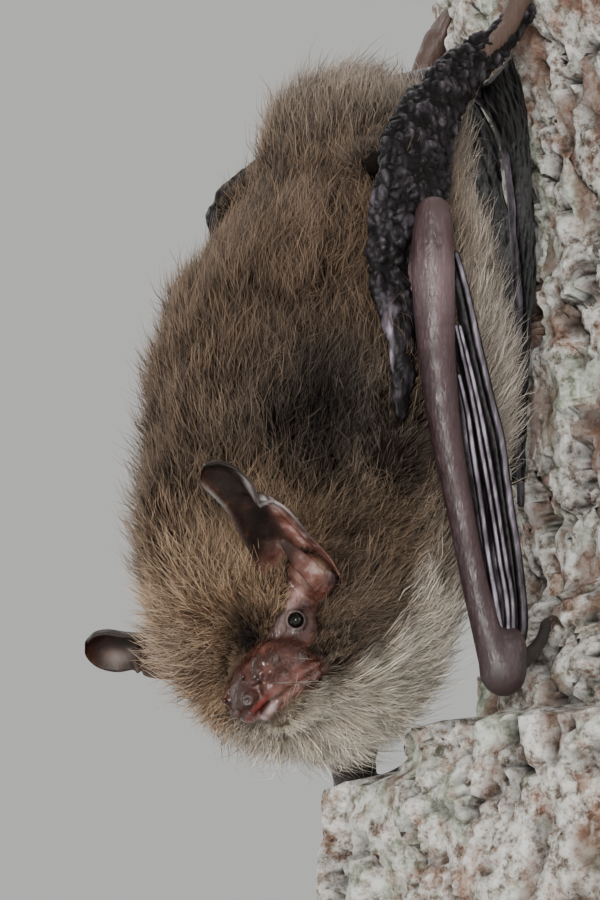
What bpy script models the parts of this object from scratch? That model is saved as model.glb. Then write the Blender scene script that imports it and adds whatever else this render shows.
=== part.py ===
"""A brown bat at roost, life size: head down on a cut length of trunk, on a plain display stand.

The bat's own frame is used for its sizes, in millimetres: x = 0 at the bark with the belly towards
+x, -y its left side, z = 0 at mid body, and the head down. roost() takes them to the world, in metres,
whose origin is the middle of the stand's underside.
"""
import bpy
import bmesh
from math import cos, exp, radians, sin, sqrt, tau
from mathutils import Vector

# Where the bat's frame stands above the stand's underside (mm).
ROOST_X = -22.0
ROOST_Z = 68.0
GAP = 0.3                    # clearance between neighbouring pieces
LEFT = -1.0
RIGHT = 1.0

# Trunk, neck and throat with their coat: height, middle x, middle y, half depth, half width.
TORSO = [
    (29.5, -12.0, 0.0, 2.4, 2.0), (28.2, -12.0, 0.0, 5.4, 4.6), (25.0, -11.6, 0.0, 8.0, 8.0),
    (20.0, -12.0, 0.0, 8.3, 10.2), (15.5, -13.0, 0.0, 10.6, 12.0), (11.0, -14.0, 0.0, 12.9, 12.7),
    (5.0, -14.3, 0.0, 14.2, 12.9), (-2.0, -15.5, -0.2, 14.0, 12.0), (-8.0, -16.9, -1.2, 13.7, 8.8),
    (-12.0, -17.6, -2.4, 13.0, 7.4), (-16.0, -17.3, -3.0, 11.2, 6.9), (-19.5, -17.2, -3.2, 8.6, 6.0),
    (-22.3, -17.1, -3.2, 5.0, 4.0), (-23.6, -17.1, -3.2, 2.4, 2.0),
]
TORSO_SIDES = 22
SHOULDER_CUT = -5.5          # height of the parting between trunk and neck, at the body's middle
NAPE_CUT = -9.0              # and between neck and head
CUT_LEAN = 0.32              # how far both partings lean to the face

# Head: its middle, and the directions of its nose, left side and crown.
HEAD = Vector((-19.14, -5.3, -14.54))
FACE = Vector((-0.626, -0.460, -0.629)).normalized()
SIDE = Vector((0.168, -0.868, 0.467))
SIDE = (SIDE - FACE * SIDE.dot(FACE)).normalized()
CROWN = FACE.cross(SIDE)
# Stations along the face: distance, half width, height above and depth below the middle.
SKULL = [
    (-7.5, 3.6, 4.2, 4.2), (-5.0, 6.5, 6.9, 6.9), (-2.5, 7.4, 7.4, 7.6), (-0.2, 6.7, 6.8, 7.6),
    (1.5, 5.6, 5.9, 7.4), (3.0, 4.9, 4.8, 7.0), (4.5, 4.2, 3.7, 6.3), (6.0, 3.3, 2.5, 5.4),
    (7.0, 1.8, 1.4, 4.2),
]
MUZZLE = [
    (3.6, 2.9, 2.0, 1.4), (5.2, 3.6, 2.6, 1.7), (6.8, 3.7, 2.4, 1.7), (8.4, 3.0, 1.9, 1.5),
    (9.6, 2.2, 1.4, 1.3), (10.3, 1.2, 0.8, 0.8),
]
JAW = [(3.4, 2.6, 0.9, 1.0), (5.2, 3.0, 0.9, 1.3), (7.0, 2.3, 0.8, 1.2), (8.3, 1.4, 0.6, 0.9), (8.9, 0.6, 0.3, 0.4)]
JAW_DROP = 2.75               # the jaw's middle below the head's
# Longer fur beside the face: brow, cheek and chin of the right side, and the radii of each.
RUFF = [
    ((3.6, -3.4, 3.6), (3.4, 3.2, 2.4)), ((4.6, -3.4, -2.0), (3.2, 3.0, 2.2)), ((6.0, -1.0, -3.4), (2.9, 3.2, 2.5)),
]
NOSTRIL = (10.0, 0.85, 0.0)
NOSTRIL_PAD = 0.62
EYE = (3.1, 3.45, 0.75)
EYE_RADIUS = 0.62
EYE_HOLLOW = (1.7, 1.9, 1.5)
EAR_HOLLOW = (1.9, 2.6, 3.6)
# Ear edges from the base to the tip, in head directions (left side).
EAR_FRONT_EDGE = [(1.3, 3.6, 4.6), (2.0, 5.8, 7.5), (2.6, 7.7, 10.5), (3.1, 8.9, 12.6)]
EAR_REAR_EDGE = [(-0.2, 6.9, 0.4), (1.2, 9.4, 4.7), (2.5, 10.6, 8.6), (3.1, 10.7, 12.0)]
EAR_THICKNESS = 0.6
EAR_CUP = 0.30               # depth of the ear's cup, as a share of its width
EAR_SWING = {LEFT: (0.0, 0.0, 0.0), RIGHT: (1.8, 0.0, -1.2)}   # how far each tip is swung forward
TRAGUS = [(1.6, 5.9, 2.2), (2.0, 6.8, 3.8), (2.3, 7.7, 5.6)]

# Limb joints on the left (-y) side; the right side has its own where it differs.
ELBOW = {LEFT: (-12.4, -15.1, 15.3), RIGHT: (-12.0, 14.7, 12.0)}
WRIST = {LEFT: (-7.6, -15.1, -17.9), RIGHT: (-6.9, 14.4, -24.0)}
WRIST_KNOB = (1.75, 1.5, 1.8)
THUMB_TIP = {LEFT: (-1.7, -12.0, -13.5), RIGHT: (-1.2, 11.4, -21.0)}
KNEE = {LEFT: (-16.0, -12.6, 19.3), RIGHT: (-19.6, 13.0, 21.5)}
ANKLE = {LEFT: (-3.6, -9.0, 31.9), RIGHT: (-3.6, 9.0, 31.9)}
CLAWS = {LEFT: (0.3, -8.0, 40.0), RIGHT: (0.3, 8.0, 40.0)}
SHOULDER = (-13.8, 9.0, -3.0)
HIP = (-12.2, 5.5, 21.0)
# The forearm's bow: share of the way to the wrist, how far it bows out, its radius there.
FOREARM = [
    (0.0, 0.0, 1.45), (0.16, -0.8, 1.55), (0.31, -1.3, 1.4), (0.49, -1.45, 1.15), (0.67, -1.15, 1.0),
    (0.81, -0.85, 0.95), (0.93, -0.45, 1.1),
]
SHIN_BOW = (-0.9, 0.0, 1.7)
SHIN_RADII = [0.95, 1.1, 1.25]

# Wing and tail skin.
SKIN = 0.8
WING_OUTER = [(-4.4, 9.4, 31.0), (-10.0, 11.2, 26.2), (-16.2, 12.9, 19.4), (-16.4, 13.9, 11.0), (-15.3, 14.0, 1.0)]
WING_INNER = [(-2.9, 9.7, 30.0), (-5.5, 11.3, 25.5), (-9.3, 13.4, 19.0), (-11.6, 14.1, 11.0), (-14.0, 14.2, 1.0)]
WING_FOLDS = 3
WING_FOLD_DEPTH = 0.3
TAIL_ROOT = (-8.6, 0.0, 29.4)
TAIL_TIP = (1.5, 0.0, -3.0)

# Perch: a cut length of trunk with thick bark plates.
TRUNK_AXIS_X = 38.0
TRUNK_RADIUS = 36.0
TRUNK_TOP = 46.0
TRUNK_BOTTOM = -44.0
TRUNK_SIDES = 34
TRUNK_RINGS = 20
# Ledges of bark: bearing from +x (deg), half spread (deg), top height, height over which it rises, reach.
LEDGES = [
    (160.0, 24.0, -24.6, 2.2, 11.5), (198.0, 22.0, -20.8, 1.6, 9.0), (200.0, 26.0, -11.0, 3.0, 4.6),
]
TOP_SWELL = (175.0, 40.0, 33.0, 6.0, 3.2)
HOLLOW = 1.7                 # how far the bark draws back behind the belly

# Stand.
BASE_RADIUS = 52.0
BASE_HEIGHT = 10.0
ROD_RADIUS = 2.0
ROD_SPREAD = 14.0


def roost(x, y, z):
    """A place in the bat's frame (mm) as a world point (m)."""
    return Vector((x + ROOST_X, y, z + ROOST_Z)) / 1000.0


def at_head(f, l, u):
    """A place in head directions as one in the bat's frame."""
    return HEAD + FACE * f + SIDE * l + CROWN * u


def spline(stations, steps):
    """Catmull-Rom curve through stations of any length, with steps spans in each gap."""
    padded = [stations[0]] + list(stations) + [stations[-1]]
    rows = []
    for i in range(len(stations) - 1):
        p0, p1, p2, p3 = padded[i:i + 4]
        for k in range(steps):
            t = k / steps
            rows.append(tuple(
                0.5 * (2 * b + (c - a) * t + (2 * a - 5 * b + 4 * c - d) * t * t
                       + (3 * b - a - 3 * c + d) * t ** 3)
                for a, b, c, d in zip(p0, p1, p2, p3)))
    rows.append(tuple(stations[-1]))
    return rows


def finish(bm, name, smooth=True):
    """Make an object of a bmesh whose places are in the bat's frame."""
    for v in bm.verts:
        v.co = roost(*v.co)
    bmesh.ops.recalc_face_normals(bm, faces=bm.faces)
    if bm.calc_volume(signed=True) < 0:
        bmesh.ops.reverse_faces(bm, faces=bm.faces)
    mesh = bpy.data.meshes.new(name)
    bm.to_mesh(mesh)
    bm.free()
    if smooth:
        mesh.shade_smooth()
        mesh.set_sharp_from_angle(angle=radians(40))
    piece = bpy.data.objects.new(name, mesh)
    bpy.context.scene.collection.objects.link(piece)
    return piece


def loft(name, rings):
    """A closed solid through rings of equally many points."""
    bm = bmesh.new()
    rows = [[bm.verts.new(p) for p in ring] for ring in rings]
    count = len(rows[0])
    for lower, upper in zip(rows, rows[1:]):
        for i in range(count):
            j = (i + 1) % count
            bm.faces.new((lower[i], lower[j], upper[j], upper[i]))
    bm.faces.new(rows[0])
    bm.faces.new(rows[-1])
    return finish(bm, name)


def tube(name, path, radii, sides=8, flat=1.0, flat_way=(0, 1, 0), lobes=0, lobe_depth=0.0, steps=2):
    """A round-ended limb along a path; flat squeezes it, and lobes ridge it lengthwise."""
    line = [Vector(p) for p in spline(path, steps)]
    widths = [r[0] for r in spline([(r,) for r in radii], (len(line) - 1) // (len(radii) - 1))]
    ends = [0.35, 0.8]
    rings = []
    for share in ends:
        back = (line[1] - line[0]).normalized() * widths[0] * sqrt(1 - share * share)
        rings.append((line[0] - back * 0.9, widths[0] * share, line[1] - line[0]))
    for k, place in enumerate(line):
        ahead = line[min(k + 1, len(line) - 1)] - line[max(k - 1, 0)]
        rings.append((place, widths[min(k, len(widths) - 1)], ahead))
    for share in reversed(ends):
        on = (line[-1] - line[-2]).normalized() * widths[-1] * sqrt(1 - share * share)
        rings.append((line[-1] + on * 0.9, widths[-1] * share, line[-1] - line[-2]))
    rows = []
    for place, radius, ahead in rings:
        ahead = ahead.normalized()
        thin = Vector(flat_way)
        thin = (thin - ahead * thin.dot(ahead)).normalized()
        wide = ahead.cross(thin)
        row = []
        for i in range(sides):
            turn = tau * i / sides
            reach = radius * (1 + lobe_depth * cos(lobes * turn))
            row.append(place + wide * reach * cos(turn) + thin * reach * flat * sin(turn))
        rows.append(row)
    return loft(name, rows)


def ball(name, place, radii, rings=8, axes=None):
    """An ellipsoid with its radii along axes."""
    bm = bmesh.new()
    bmesh.ops.create_uvsphere(bm, u_segments=2 * rings, v_segments=rings, radius=1.0)
    a, b, c = axes or (Vector((1, 0, 0)), Vector((0, 1, 0)), Vector((0, 0, 1)))
    for v in bm.verts:
        v.co = Vector(place) + a * v.co.x * radii[0] + b * v.co.y * radii[1] + c * v.co.z * radii[2]
    return finish(bm, name)


def settle(piece):
    """Apply the piece's modifiers and keep its largest body."""
    depsgraph = bpy.context.evaluated_depsgraph_get()
    mesh = bpy.data.meshes.new_from_object(piece.evaluated_get(depsgraph))
    piece.modifiers.clear()
    piece.data = mesh
    bm = bmesh.new()
    bm.from_mesh(mesh)
    bmesh.ops.remove_doubles(bm, verts=bm.verts, dist=0.000001)
    bmesh.ops.dissolve_degenerate(bm, edges=bm.edges, dist=0.000001)
    islands = []
    waiting = set(bm.verts)
    while waiting:
        reach = [waiting.pop()]
        island = []
        while reach:
            v = reach.pop()
            island.append(v)
            for edge in v.link_edges:
                other = edge.other_vert(v)
                if other in waiting:
                    waiting.remove(other)
                    reach.append(other)
        islands.append(island)
    islands.sort(key=len)
    for island in islands[:-1]:
        bmesh.ops.delete(bm, geom=island, context="VERTS")
    bm.to_mesh(mesh)
    bm.free()
    return piece


def boolean(piece, other, operation, gap=0.0, hull=False):
    """Join or cut the piece by another, or by its hull, which is grown by gap first."""
    tool = bpy.data.objects.new("tool", other.data.copy())
    if hull:
        bm = bmesh.new()
        bm.from_mesh(tool.data)
        shell = bmesh.ops.convex_hull(bm, input=bm.verts)
        bmesh.ops.delete(bm, geom=list(set(shell["geom_interior"] + shell["geom_unused"])), context="VERTS")
        bm.faces.ensure_lookup_table()
        kept = {f for f in shell["geom"] if isinstance(f, bmesh.types.BMFace)}
        bmesh.ops.delete(bm, geom=[f for f in bm.faces if f not in kept], context="FACES")
        bmesh.ops.recalc_face_normals(bm, faces=bm.faces)
        bm.to_mesh(tool.data)
        bm.free()
    bpy.context.scene.collection.objects.link(tool)
    if gap:
        swell = tool.modifiers.new("Swell", "DISPLACE")
        swell.mid_level = 0.0
        swell.strength = gap / 1000.0
    step = piece.modifiers.new("Step", "BOOLEAN")
    step.operation = operation
    step.solver = "EXACT"
    step.object = tool
    settle(piece)
    bpy.data.objects.remove(tool)
    return piece


def part_from(piece, *others, hull=False):
    """Cut the piece clear of others."""
    for other in others:
        boolean(piece, other, "DIFFERENCE", GAP, hull)


def side_name(side):
    return "left" if side == LEFT else "right"


def torso():
    """Trunk, neck and throat as one loft, joined to the furred head."""
    rings = []
    for z, x, y, depth, width in spline(TORSO, 2):
        rings.append([
            (x + depth * cos(tau * i / TORSO_SIDES), y + width * sin(tau * i / TORSO_SIDES), z)
            for i in range(TORSO_SIDES)])
    return loft("trunk", rings)


def head_loft(name, stations, drop=0.0, sides=20, steps=1):
    """A loft along the face; each station has its own height above and below the middle."""
    rings = []
    for f, width, above, below in spline(stations, steps):
        ring = []
        for i in range(sides):
            turn = tau * i / sides
            rise = above if sin(turn) > 0 else below
            ring.append(at_head(f, width * cos(turn), rise * sin(turn) - drop))
        rings.append(ring)
    return loft(name, rings)


def slice_off(piece, name, height):
    """Part the piece below a leaning plane, and return the lower part as a new object."""
    normal = Vector((CUT_LEAN, 0.15, 1.0)).normalized()
    place = Vector((-16.0, 0.0, height))
    lower = bpy.data.objects.new(name, piece.data.copy())
    bpy.context.scene.collection.objects.link(lower)
    for obj, keep, shift in ((piece, 1.0, GAP / 2), (lower, -1.0, -GAP / 2)):
        bm = bmesh.new()
        bm.from_mesh(obj.data)
        point = place + normal * shift
        cut = bmesh.ops.bisect_plane(
            bm, geom=bm.verts[:] + bm.edges[:] + bm.faces[:], plane_co=roost(*point), plane_no=normal,
            clear_inner=keep > 0, clear_outer=keep < 0)
        rim = [e for e in cut["geom_cut"] if isinstance(e, bmesh.types.BMEdge)]
        bmesh.ops.contextual_create(bm, geom=rim)
        bmesh.ops.recalc_face_normals(bm, faces=bm.faces)
        bm.to_mesh(obj.data)
        bm.free()
    return lower


def ear(side):
    """A cupped leaf between its front and rear edges, of even thickness."""
    along, across = 6, 6
    front = spline(EAR_FRONT_EDGE, 2)
    rear = spline(EAR_REAR_EDGE, 2)
    swing = Vector(EAR_SWING[side])
    back = Vector((-0.80, -0.06, 0.24)).normalized()
    sheet = []
    for s in range(along + 1):
        a = Vector(front[s]) + swing * s / along
        b = Vector(rear[s]) + swing * s / along
        width = (b - a).length
        row = []
        for t in range(across + 1):
            share = t / across
            cup = EAR_CUP * width * 4 * share * (1 - share)
            row.append(a.lerp(b, share) + back * cup)
        sheet.append(row)
    bm = bmesh.new()
    layers = []
    for shift in (-0.5, 0.5):
        layers.append([[
            bm.verts.new(at_head(p.x + back.x * shift * EAR_THICKNESS,
                                 (p.y + back.y * shift * EAR_THICKNESS) * -side,
                                 p.z + back.z * shift * EAR_THICKNESS))
            for p in row] for row in sheet])
    inner, outer = layers
    for s in range(along):
        for t in range(across):
            for layer in layers:
                bm.faces.new((layer[s][t], layer[s][t + 1], layer[s + 1][t + 1], layer[s + 1][t]))
    for s in range(along):
        for t in (0, across):
            bm.faces.new((inner[s][t], inner[s + 1][t], outer[s + 1][t], outer[s][t]))
    for t in range(across):
        for s in (0, along):
            bm.faces.new((inner[s][t], inner[s][t + 1], outer[s][t + 1], outer[s][t]))
    return finish(bm, "ear_" + side_name(side))


def head_side(point, side):
    """A head place given for the left, on the wanted side, in the bat's frame."""
    return at_head(point[0], point[1] * -side, point[2])


def eye(side):
    return ball("eye_" + side_name(side), head_side(EYE, side), (EYE_RADIUS,) * 3, rings=5)


def eye_hollow(side):
    """The dish in the coat that the eye looks out of."""
    rim = (EYE[0] + 0.3, EYE[1] + 1.5, EYE[2] + 0.1)
    return ball("hollow", head_side(rim, side), EYE_HOLLOW, rings=4, axes=(FACE, SIDE, CROWN))


def ear_hollow(side):
    """The clear space in the coat in front of the ear."""
    middle = (EAR_FRONT_EDGE[0][0] + 1.0, EAR_FRONT_EDGE[1][1] + 1.4, EAR_FRONT_EDGE[0][2] + 0.4)
    return ball("hollow", head_side(middle, side), EAR_HOLLOW, rings=4, axes=(FACE, SIDE, CROWN))


def muzzle():
    """Swollen sides, and a pad round each nostril."""
    body = head_loft("muzzle", MUZZLE, sides=16, steps=2)
    for side in (LEFT, RIGHT):
        pad = ball("pad", head_side(NOSTRIL, side), (NOSTRIL_PAD,) * 3, rings=4)
        boolean(body, pad, "UNION")
        bpy.data.objects.remove(pad)
    return body


def mirrored(point, side):
    """A place given with +y outwards, on the wanted side."""
    return (point[0], point[1] * side, point[2])


def between(a, b, share, bulge=(0.0, 0.0, 0.0)):
    return tuple(p + (q - p) * share + c for p, q, c in zip(a, b, bulge))


def arm(side):
    """Upper arm, forearm, wrist, thumb and the folded fingers of one wing."""
    tag = side_name(side)
    elbow, wrist = ELBOW[side], WRIST[side]
    shoulder = mirrored(SHOULDER, side)
    upper = tube("upper_arm_" + tag, [shoulder, between(shoulder, elbow, 0.55), between(shoulder, elbow, 0.93)],
                 [1.7, 1.6, 1.3])
    fore = tube("forearm_" + tag, [between(elbow, wrist, share, (bow, 0.0, 0.0)) for share, bow, _ in FOREARM],
                [radius for _, _, radius in FOREARM], sides=10, steps=1)
    knob = ball("wrist_" + tag, wrist, WRIST_KNOB, rings=6)
    tip = THUMB_TIP[side]
    root = between(wrist, tip, 0.2, (0.5, 0.0, -0.6))
    thumb = tube("thumb_" + tag, [root, between(root, tip, 0.45, (0.6, 0.1 * side, -0.7)),
                                  between(root, tip, 0.8, (0.3, 0.1 * side, -0.3)), tip],
                 [0.75, 0.6, 0.45, 0.28], sides=6)
    start = between(wrist, elbow, 0.04, (0.9, -0.3 * side, 0.0))
    end = between(wrist, elbow, 0.93, (1.5, -0.9 * side, 0.0))
    fingers = tube("fingers_" + tag, [start, between(start, end, 0.45, (0.45, 0.3 * side, 0.0)), end],
                   [1.1, 1.55, 0.6], sides=16, flat=0.75, lobes=4, lobe_depth=0.12)
    part_from(fore, knob)
    part_from(fingers, knob, fore)
    part_from(thumb, knob, fingers)
    part_from(upper, fore)
    return upper, fore, knob, thumb, fingers


def foot(side):
    """A narrow sole and five hooked toes that reach the bark."""
    ankle, claws = ANKLE[side], CLAWS[side]
    heel = between(ankle, claws, 0.07)
    ball_of_foot = between(ankle, claws, 0.5, (0.2, 0.0, 0.0))
    sole = tube("foot_" + side_name(side), [heel, between(heel, ball_of_foot, 0.6), ball_of_foot],
                [0.85, 1.0, 1.25], flat_way=(0, 1, 0))
    for toe in range(5):
        spread = (toe - 2) * 0.62
        root = between(ankle, claws, 0.5, (0.0, spread * 0.85, 0.0))
        tip = (claws[0], claws[1] + spread * 1.35, claws[2] - 0.35 * abs(toe - 2))
        digit = tube("toe", [root, between(root, tip, 0.6, (-0.7, 0.0, 0.0)), tip], [0.42, 0.38, 0.25],
                     sides=4, steps=1)
        boolean(sole, digit, "UNION")
        bpy.data.objects.remove(digit)
    return sole


def leg(side):
    """Thigh, shin and foot."""
    tag = side_name(side)
    knee, ankle = KNEE[side], ANKLE[side]
    hip = mirrored(HIP, side)
    thigh = tube("thigh_" + tag, [hip, between(hip, knee, 0.5), between(hip, knee, 0.9)], [1.9, 1.6, 1.3])
    shin = tube("shin_" + tag, [between(ankle, knee, 0.03), between(ankle, knee, 0.5, SHIN_BOW), knee],
                SHIN_RADII)
    paw = foot(side)
    part_from(thigh, shin)
    part_from(shin, paw)
    return thigh, shin, paw


def sheet(name, outer, inner, side, across=5, folds=0, depth=0.0, steps=2):
    """A pleated membrane between two edges, given with +y outwards."""
    first, second = spline(outer, steps), spline(inner, steps)
    rings = []
    for k, (a, b) in enumerate(zip(first, second)):
        a, b = Vector(mirrored(a, side)), Vector(mirrored(b, side))
        ahead = Vector(mirrored(first[min(k + 1, len(first) - 1)], side)) \
            - Vector(mirrored(first[max(k - 1, 0)], side))
        face = (b - a).cross(ahead).normalized()
        line = []
        for t in range(across + 1):
            share = t / across
            line.append(a.lerp(b, share) + face * depth * sin(folds * tau * share + 0.5 * k))
        rings.append([p - face * SKIN / 2 for p in line] + [p + face * SKIN / 2 for p in reversed(line)])
    return loft(name, rings)


def wing_skin(side):
    drop = (KNEE[side][2] - KNEE[LEFT][2]) * 0.4
    away = KNEE[side][0] - KNEE[LEFT][0]
    shape = []
    for edge in (WING_OUTER, WING_INNER):
        rows = []
        for k, (x, y, z) in enumerate(edge):
            pull = (0.0, 0.45, 1.0, 0.45, 0.0)[k]
            low = ELBOW[side][2] - ELBOW[LEFT][2] if k > 2 else drop * pull
            rows.append((x + away * pull, y, z + low))
        shape.append(rows)
    return sheet("wing_skin_" + side_name(side), shape[0], shape[1], side, across=5,
                 folds=WING_FOLDS, depth=WING_FOLD_DEPTH)


def tail():
    """The tail, curled under the belly between body and bark."""
    bend = (0.4, 0.0, 26.6)
    return tube("tail", [TAIL_ROOT, (-4.0, 0.0, 30.4), bend, (1.5, 0.0, 14.0), TAIL_TIP],
                [0.95, 0.85, 0.7, 0.55, 0.4], sides=6)


def tail_skin(side):
    """Half of the tail membrane, from the tail out to the ankle."""
    outer = [(-2.6, 8.3, 30.6), (-0.2, 6.2, 25.0), (1.0, 3.6, 13.0), (1.4, 1.3, -1.0)]
    inner = [(-1.9, 1.2, 29.8), (0.6, 1.15, 23.5), (1.5, 1.0, 12.0), (1.6, 0.8, -1.0)]
    return sheet("tail_skin_" + side_name(side), outer, inner, side, across=3)


def rise(share):
    """0 to 1 with soft ends."""
    share = min(max(share, 0.0), 1.0)
    return share * share * (3 - 2 * share)


def bark_reach(bearing, z):
    """Distance of the bark from the trunk's axis at a bearing (rad) and height."""
    reach = TRUNK_RADIUS
    reach -= HOLLOW * rise((z + 17) / 8) * rise((30 - z) / 8) * exp(-((bearing - radians(175)) / 0.75) ** 2)
    for middle, spread, top, run, height in LEDGES:
        away = (bearing - radians(middle)) / radians(spread)
        reach += height * exp(-away ** 4) * rise((top - z) / run + 0.5)
    middle, spread, top, run, height = TOP_SWELL
    reach += height * exp(-((bearing - radians(middle)) / radians(spread)) ** 4) * rise((z - top) / run + 0.5)
    behind = rise((abs(bearing - radians(180)) - radians(50)) / radians(25))
    plates = sin(9 * bearing + 0.9 * sin(0.16 * z)) * cos(0.21 * z + 1.7 * sin(4 * bearing))
    return reach + plates * (0.5 + 0.9 * behind)


def perch():
    """A cut length of trunk with thick, plated bark, sawn flat at both ends."""
    rings = []
    for k in range(TRUNK_RINGS + 1):
        z = TRUNK_BOTTOM + (TRUNK_TOP - TRUNK_BOTTOM) * k / TRUNK_RINGS
        ring = []
        for i in range(TRUNK_SIDES):
            bearing = tau * i / TRUNK_SIDES
            reach = bark_reach(bearing, z)
            ring.append((TRUNK_AXIS_X + reach * cos(bearing), reach * sin(bearing), z))
        rings.append(ring)
    return loft("perch_trunk", rings)


def stand():
    """A flat round base, and two short rods up to the trunk's cut end."""
    pieces = []
    bm = bmesh.new()
    bmesh.ops.create_cone(bm, cap_ends=True, segments=48, radius1=BASE_RADIUS, radius2=BASE_RADIUS,
                          depth=BASE_HEIGHT)
    rim = [e for e in bm.edges if all(v.co.z > 0 for v in e.verts)]
    bmesh.ops.bevel(bm, geom=rim, offset=1.2, segments=1, profile=0.5, affect="EDGES", material=-1)
    bmesh.ops.translate(bm, verts=bm.verts, vec=(-ROOST_X, 0.0, BASE_HEIGHT / 2 - ROOST_Z))
    pieces.append(finish(bm, "stand_base"))
    low = BASE_HEIGHT - ROOST_Z + GAP
    high = TRUNK_BOTTOM - GAP
    for k, shift in enumerate((-ROD_SPREAD, ROD_SPREAD)):
        bm = bmesh.new()
        bmesh.ops.create_cone(bm, cap_ends=True, segments=12, radius1=ROD_RADIUS, radius2=ROD_RADIUS,
                              depth=high - low)
        bmesh.ops.translate(bm, verts=bm.verts, vec=(TRUNK_AXIS_X - 4.0, shift, (low + high) / 2))
        pieces.append(finish(bm, "stand_rod_" + "ab"[k]))
    return pieces


def paint(piece, name, colour, roughness, metallic=0.0):
    """Give the piece a plain material of its own."""
    material = bpy.data.materials.get(name)
    if material is None:
        material = bpy.data.materials.new(name)
        material.use_nodes = True
        shader = material.node_tree.nodes["Principled BSDF"]
        shader.inputs["Base Color"].default_value = (*colour, 1.0)
        shader.inputs["Roughness"].default_value = roughness
        shader.inputs["Metallic"].default_value = metallic
    piece.data.materials.clear()
    piece.data.materials.append(material)


def build():
    trunk = torso()
    skull = head_loft("skull", SKULL, sides=18)
    boolean(trunk, skull, "UNION")
    bpy.data.objects.remove(skull)
    for place, radii in RUFF:
        tuft = ball("ruff", at_head(*place), radii, rings=7, axes=(FACE, SIDE, CROWN))
        boolean(trunk, tuft, "UNION")
        bpy.data.objects.remove(tuft)
    neck = slice_off(trunk, "neck", SHOULDER_CUT)
    head = slice_off(neck, "head", NAPE_CUT)

    snout = muzzle()
    jaw = head_loft("jaw", JAW, drop=JAW_DROP, sides=12)
    part_from(jaw, snout)
    part_from(head, snout, jaw)
    coat = [trunk, neck, head, snout]
    dark = []
    for side in (LEFT, RIGHT):
        for hollow in (eye_hollow(side), ear_hollow(side)):
            boolean(head, hollow, "DIFFERENCE")
            bpy.data.objects.remove(hollow)
        globe = eye(side)
        part_from(head, globe)
        part_from(snout, globe)
        leaf = ear(side)
        lobe = tube("tragus_" + side_name(side), [head_side(p, side) for p in TRAGUS],
                    [0.55, 0.5, 0.3], sides=6)
        part_from(lobe, leaf)
        for furred in (head, neck, trunk):
            part_from(furred, leaf, lobe)
        paint(globe, "eye_black", (0.010, 0.008, 0.007), 0.08)
        paint(leaf, "ear_skin", (0.060, 0.035, 0.028), 0.55)
        paint(lobe, "ear_skin", (0.060, 0.035, 0.028), 0.55)

        thigh, shin, paw = leg(side)
        upper, fore, knob, thumb, fingers = arm(side)
        wing = wing_skin(side)
        part_from(thigh, trunk)
        part_from(shin, trunk)
        part_from(upper, trunk, neck)
        part_from(fore, trunk, neck)
        part_from(fingers, trunk, neck)
        part_from(wing, trunk, neck)
        part_from(wing, shin, thigh, fore, upper, fingers, paw, hull=True)
        dark += [thigh, shin, paw, upper, fore, knob, thumb, fingers, wing]

    rod_of_tail = tail()
    part_from(rod_of_tail, trunk)
    dark.append(rod_of_tail)
    for side in (LEFT, RIGHT):
        half = tail_skin(side)
        part_from(half, rod_of_tail, trunk, *[p for p in dark if p.name.startswith(("shin", "foot", "wing"))])
        dark.append(half)

    log = perch()
    part_from(log, *[p for p in dark if p.name.startswith(("foot", "thumb", "wrist"))], hull=True)

    for piece in coat:
        paint(piece, "brown_coat", (0.120, 0.068, 0.040), 0.90)
    paint(snout, "bare_muzzle", (0.160, 0.050, 0.040), 0.45)
    paint(jaw, "bare_muzzle", (0.160, 0.050, 0.040), 0.45)
    for piece in dark:
        paint(piece, "wing_skin", (0.035, 0.022, 0.022), 0.50)
    paint(log, "bark", (0.210, 0.170, 0.140), 0.90)
    for piece in stand():
        if piece.name == "stand_base":
            paint(piece, "stand_wood", (0.120, 0.070, 0.040), 0.45)
        else:
            paint(piece, "stand_steel", (0.500, 0.500, 0.500), 0.35, 1.0)


for old in list(bpy.data.objects):
    bpy.data.objects.remove(old)
build()
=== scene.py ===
"""Looks of a brown bat at roost: skin, coat, ears, wings, perch and display stand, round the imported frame.

Shapes are worked out in the bat's own frame, in millimetres: x = 0 at the bark, -y the bat's left,
z = 0 at mid body, the head down. to_world() takes them to the row frame, in metres.
"""
import math

import bmesh
import bpy
import numpy as np
from mathutils import Matrix, Vector, noise
from mathutils.bvhtree import BVHTree
from mathutils.kdtree import KDTree


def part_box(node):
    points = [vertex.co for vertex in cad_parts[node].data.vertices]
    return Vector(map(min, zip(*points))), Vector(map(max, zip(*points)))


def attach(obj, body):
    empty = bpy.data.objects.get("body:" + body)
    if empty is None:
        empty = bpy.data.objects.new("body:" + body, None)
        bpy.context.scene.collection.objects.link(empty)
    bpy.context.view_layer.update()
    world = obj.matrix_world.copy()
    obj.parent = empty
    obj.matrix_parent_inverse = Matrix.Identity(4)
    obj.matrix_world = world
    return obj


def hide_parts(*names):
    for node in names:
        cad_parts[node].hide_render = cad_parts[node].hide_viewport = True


bl_info = {
    "name": "Brown Bat At Roost",
    "version": (1, 0, 0),
    "blender": (4, 5, 0),
    "location": "3D View > Sidebar > Bat",
    "description": "Builds the skin, coat, wings, perch and stand of a life-size bat model",
    "category": "Add Mesh",
}

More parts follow.
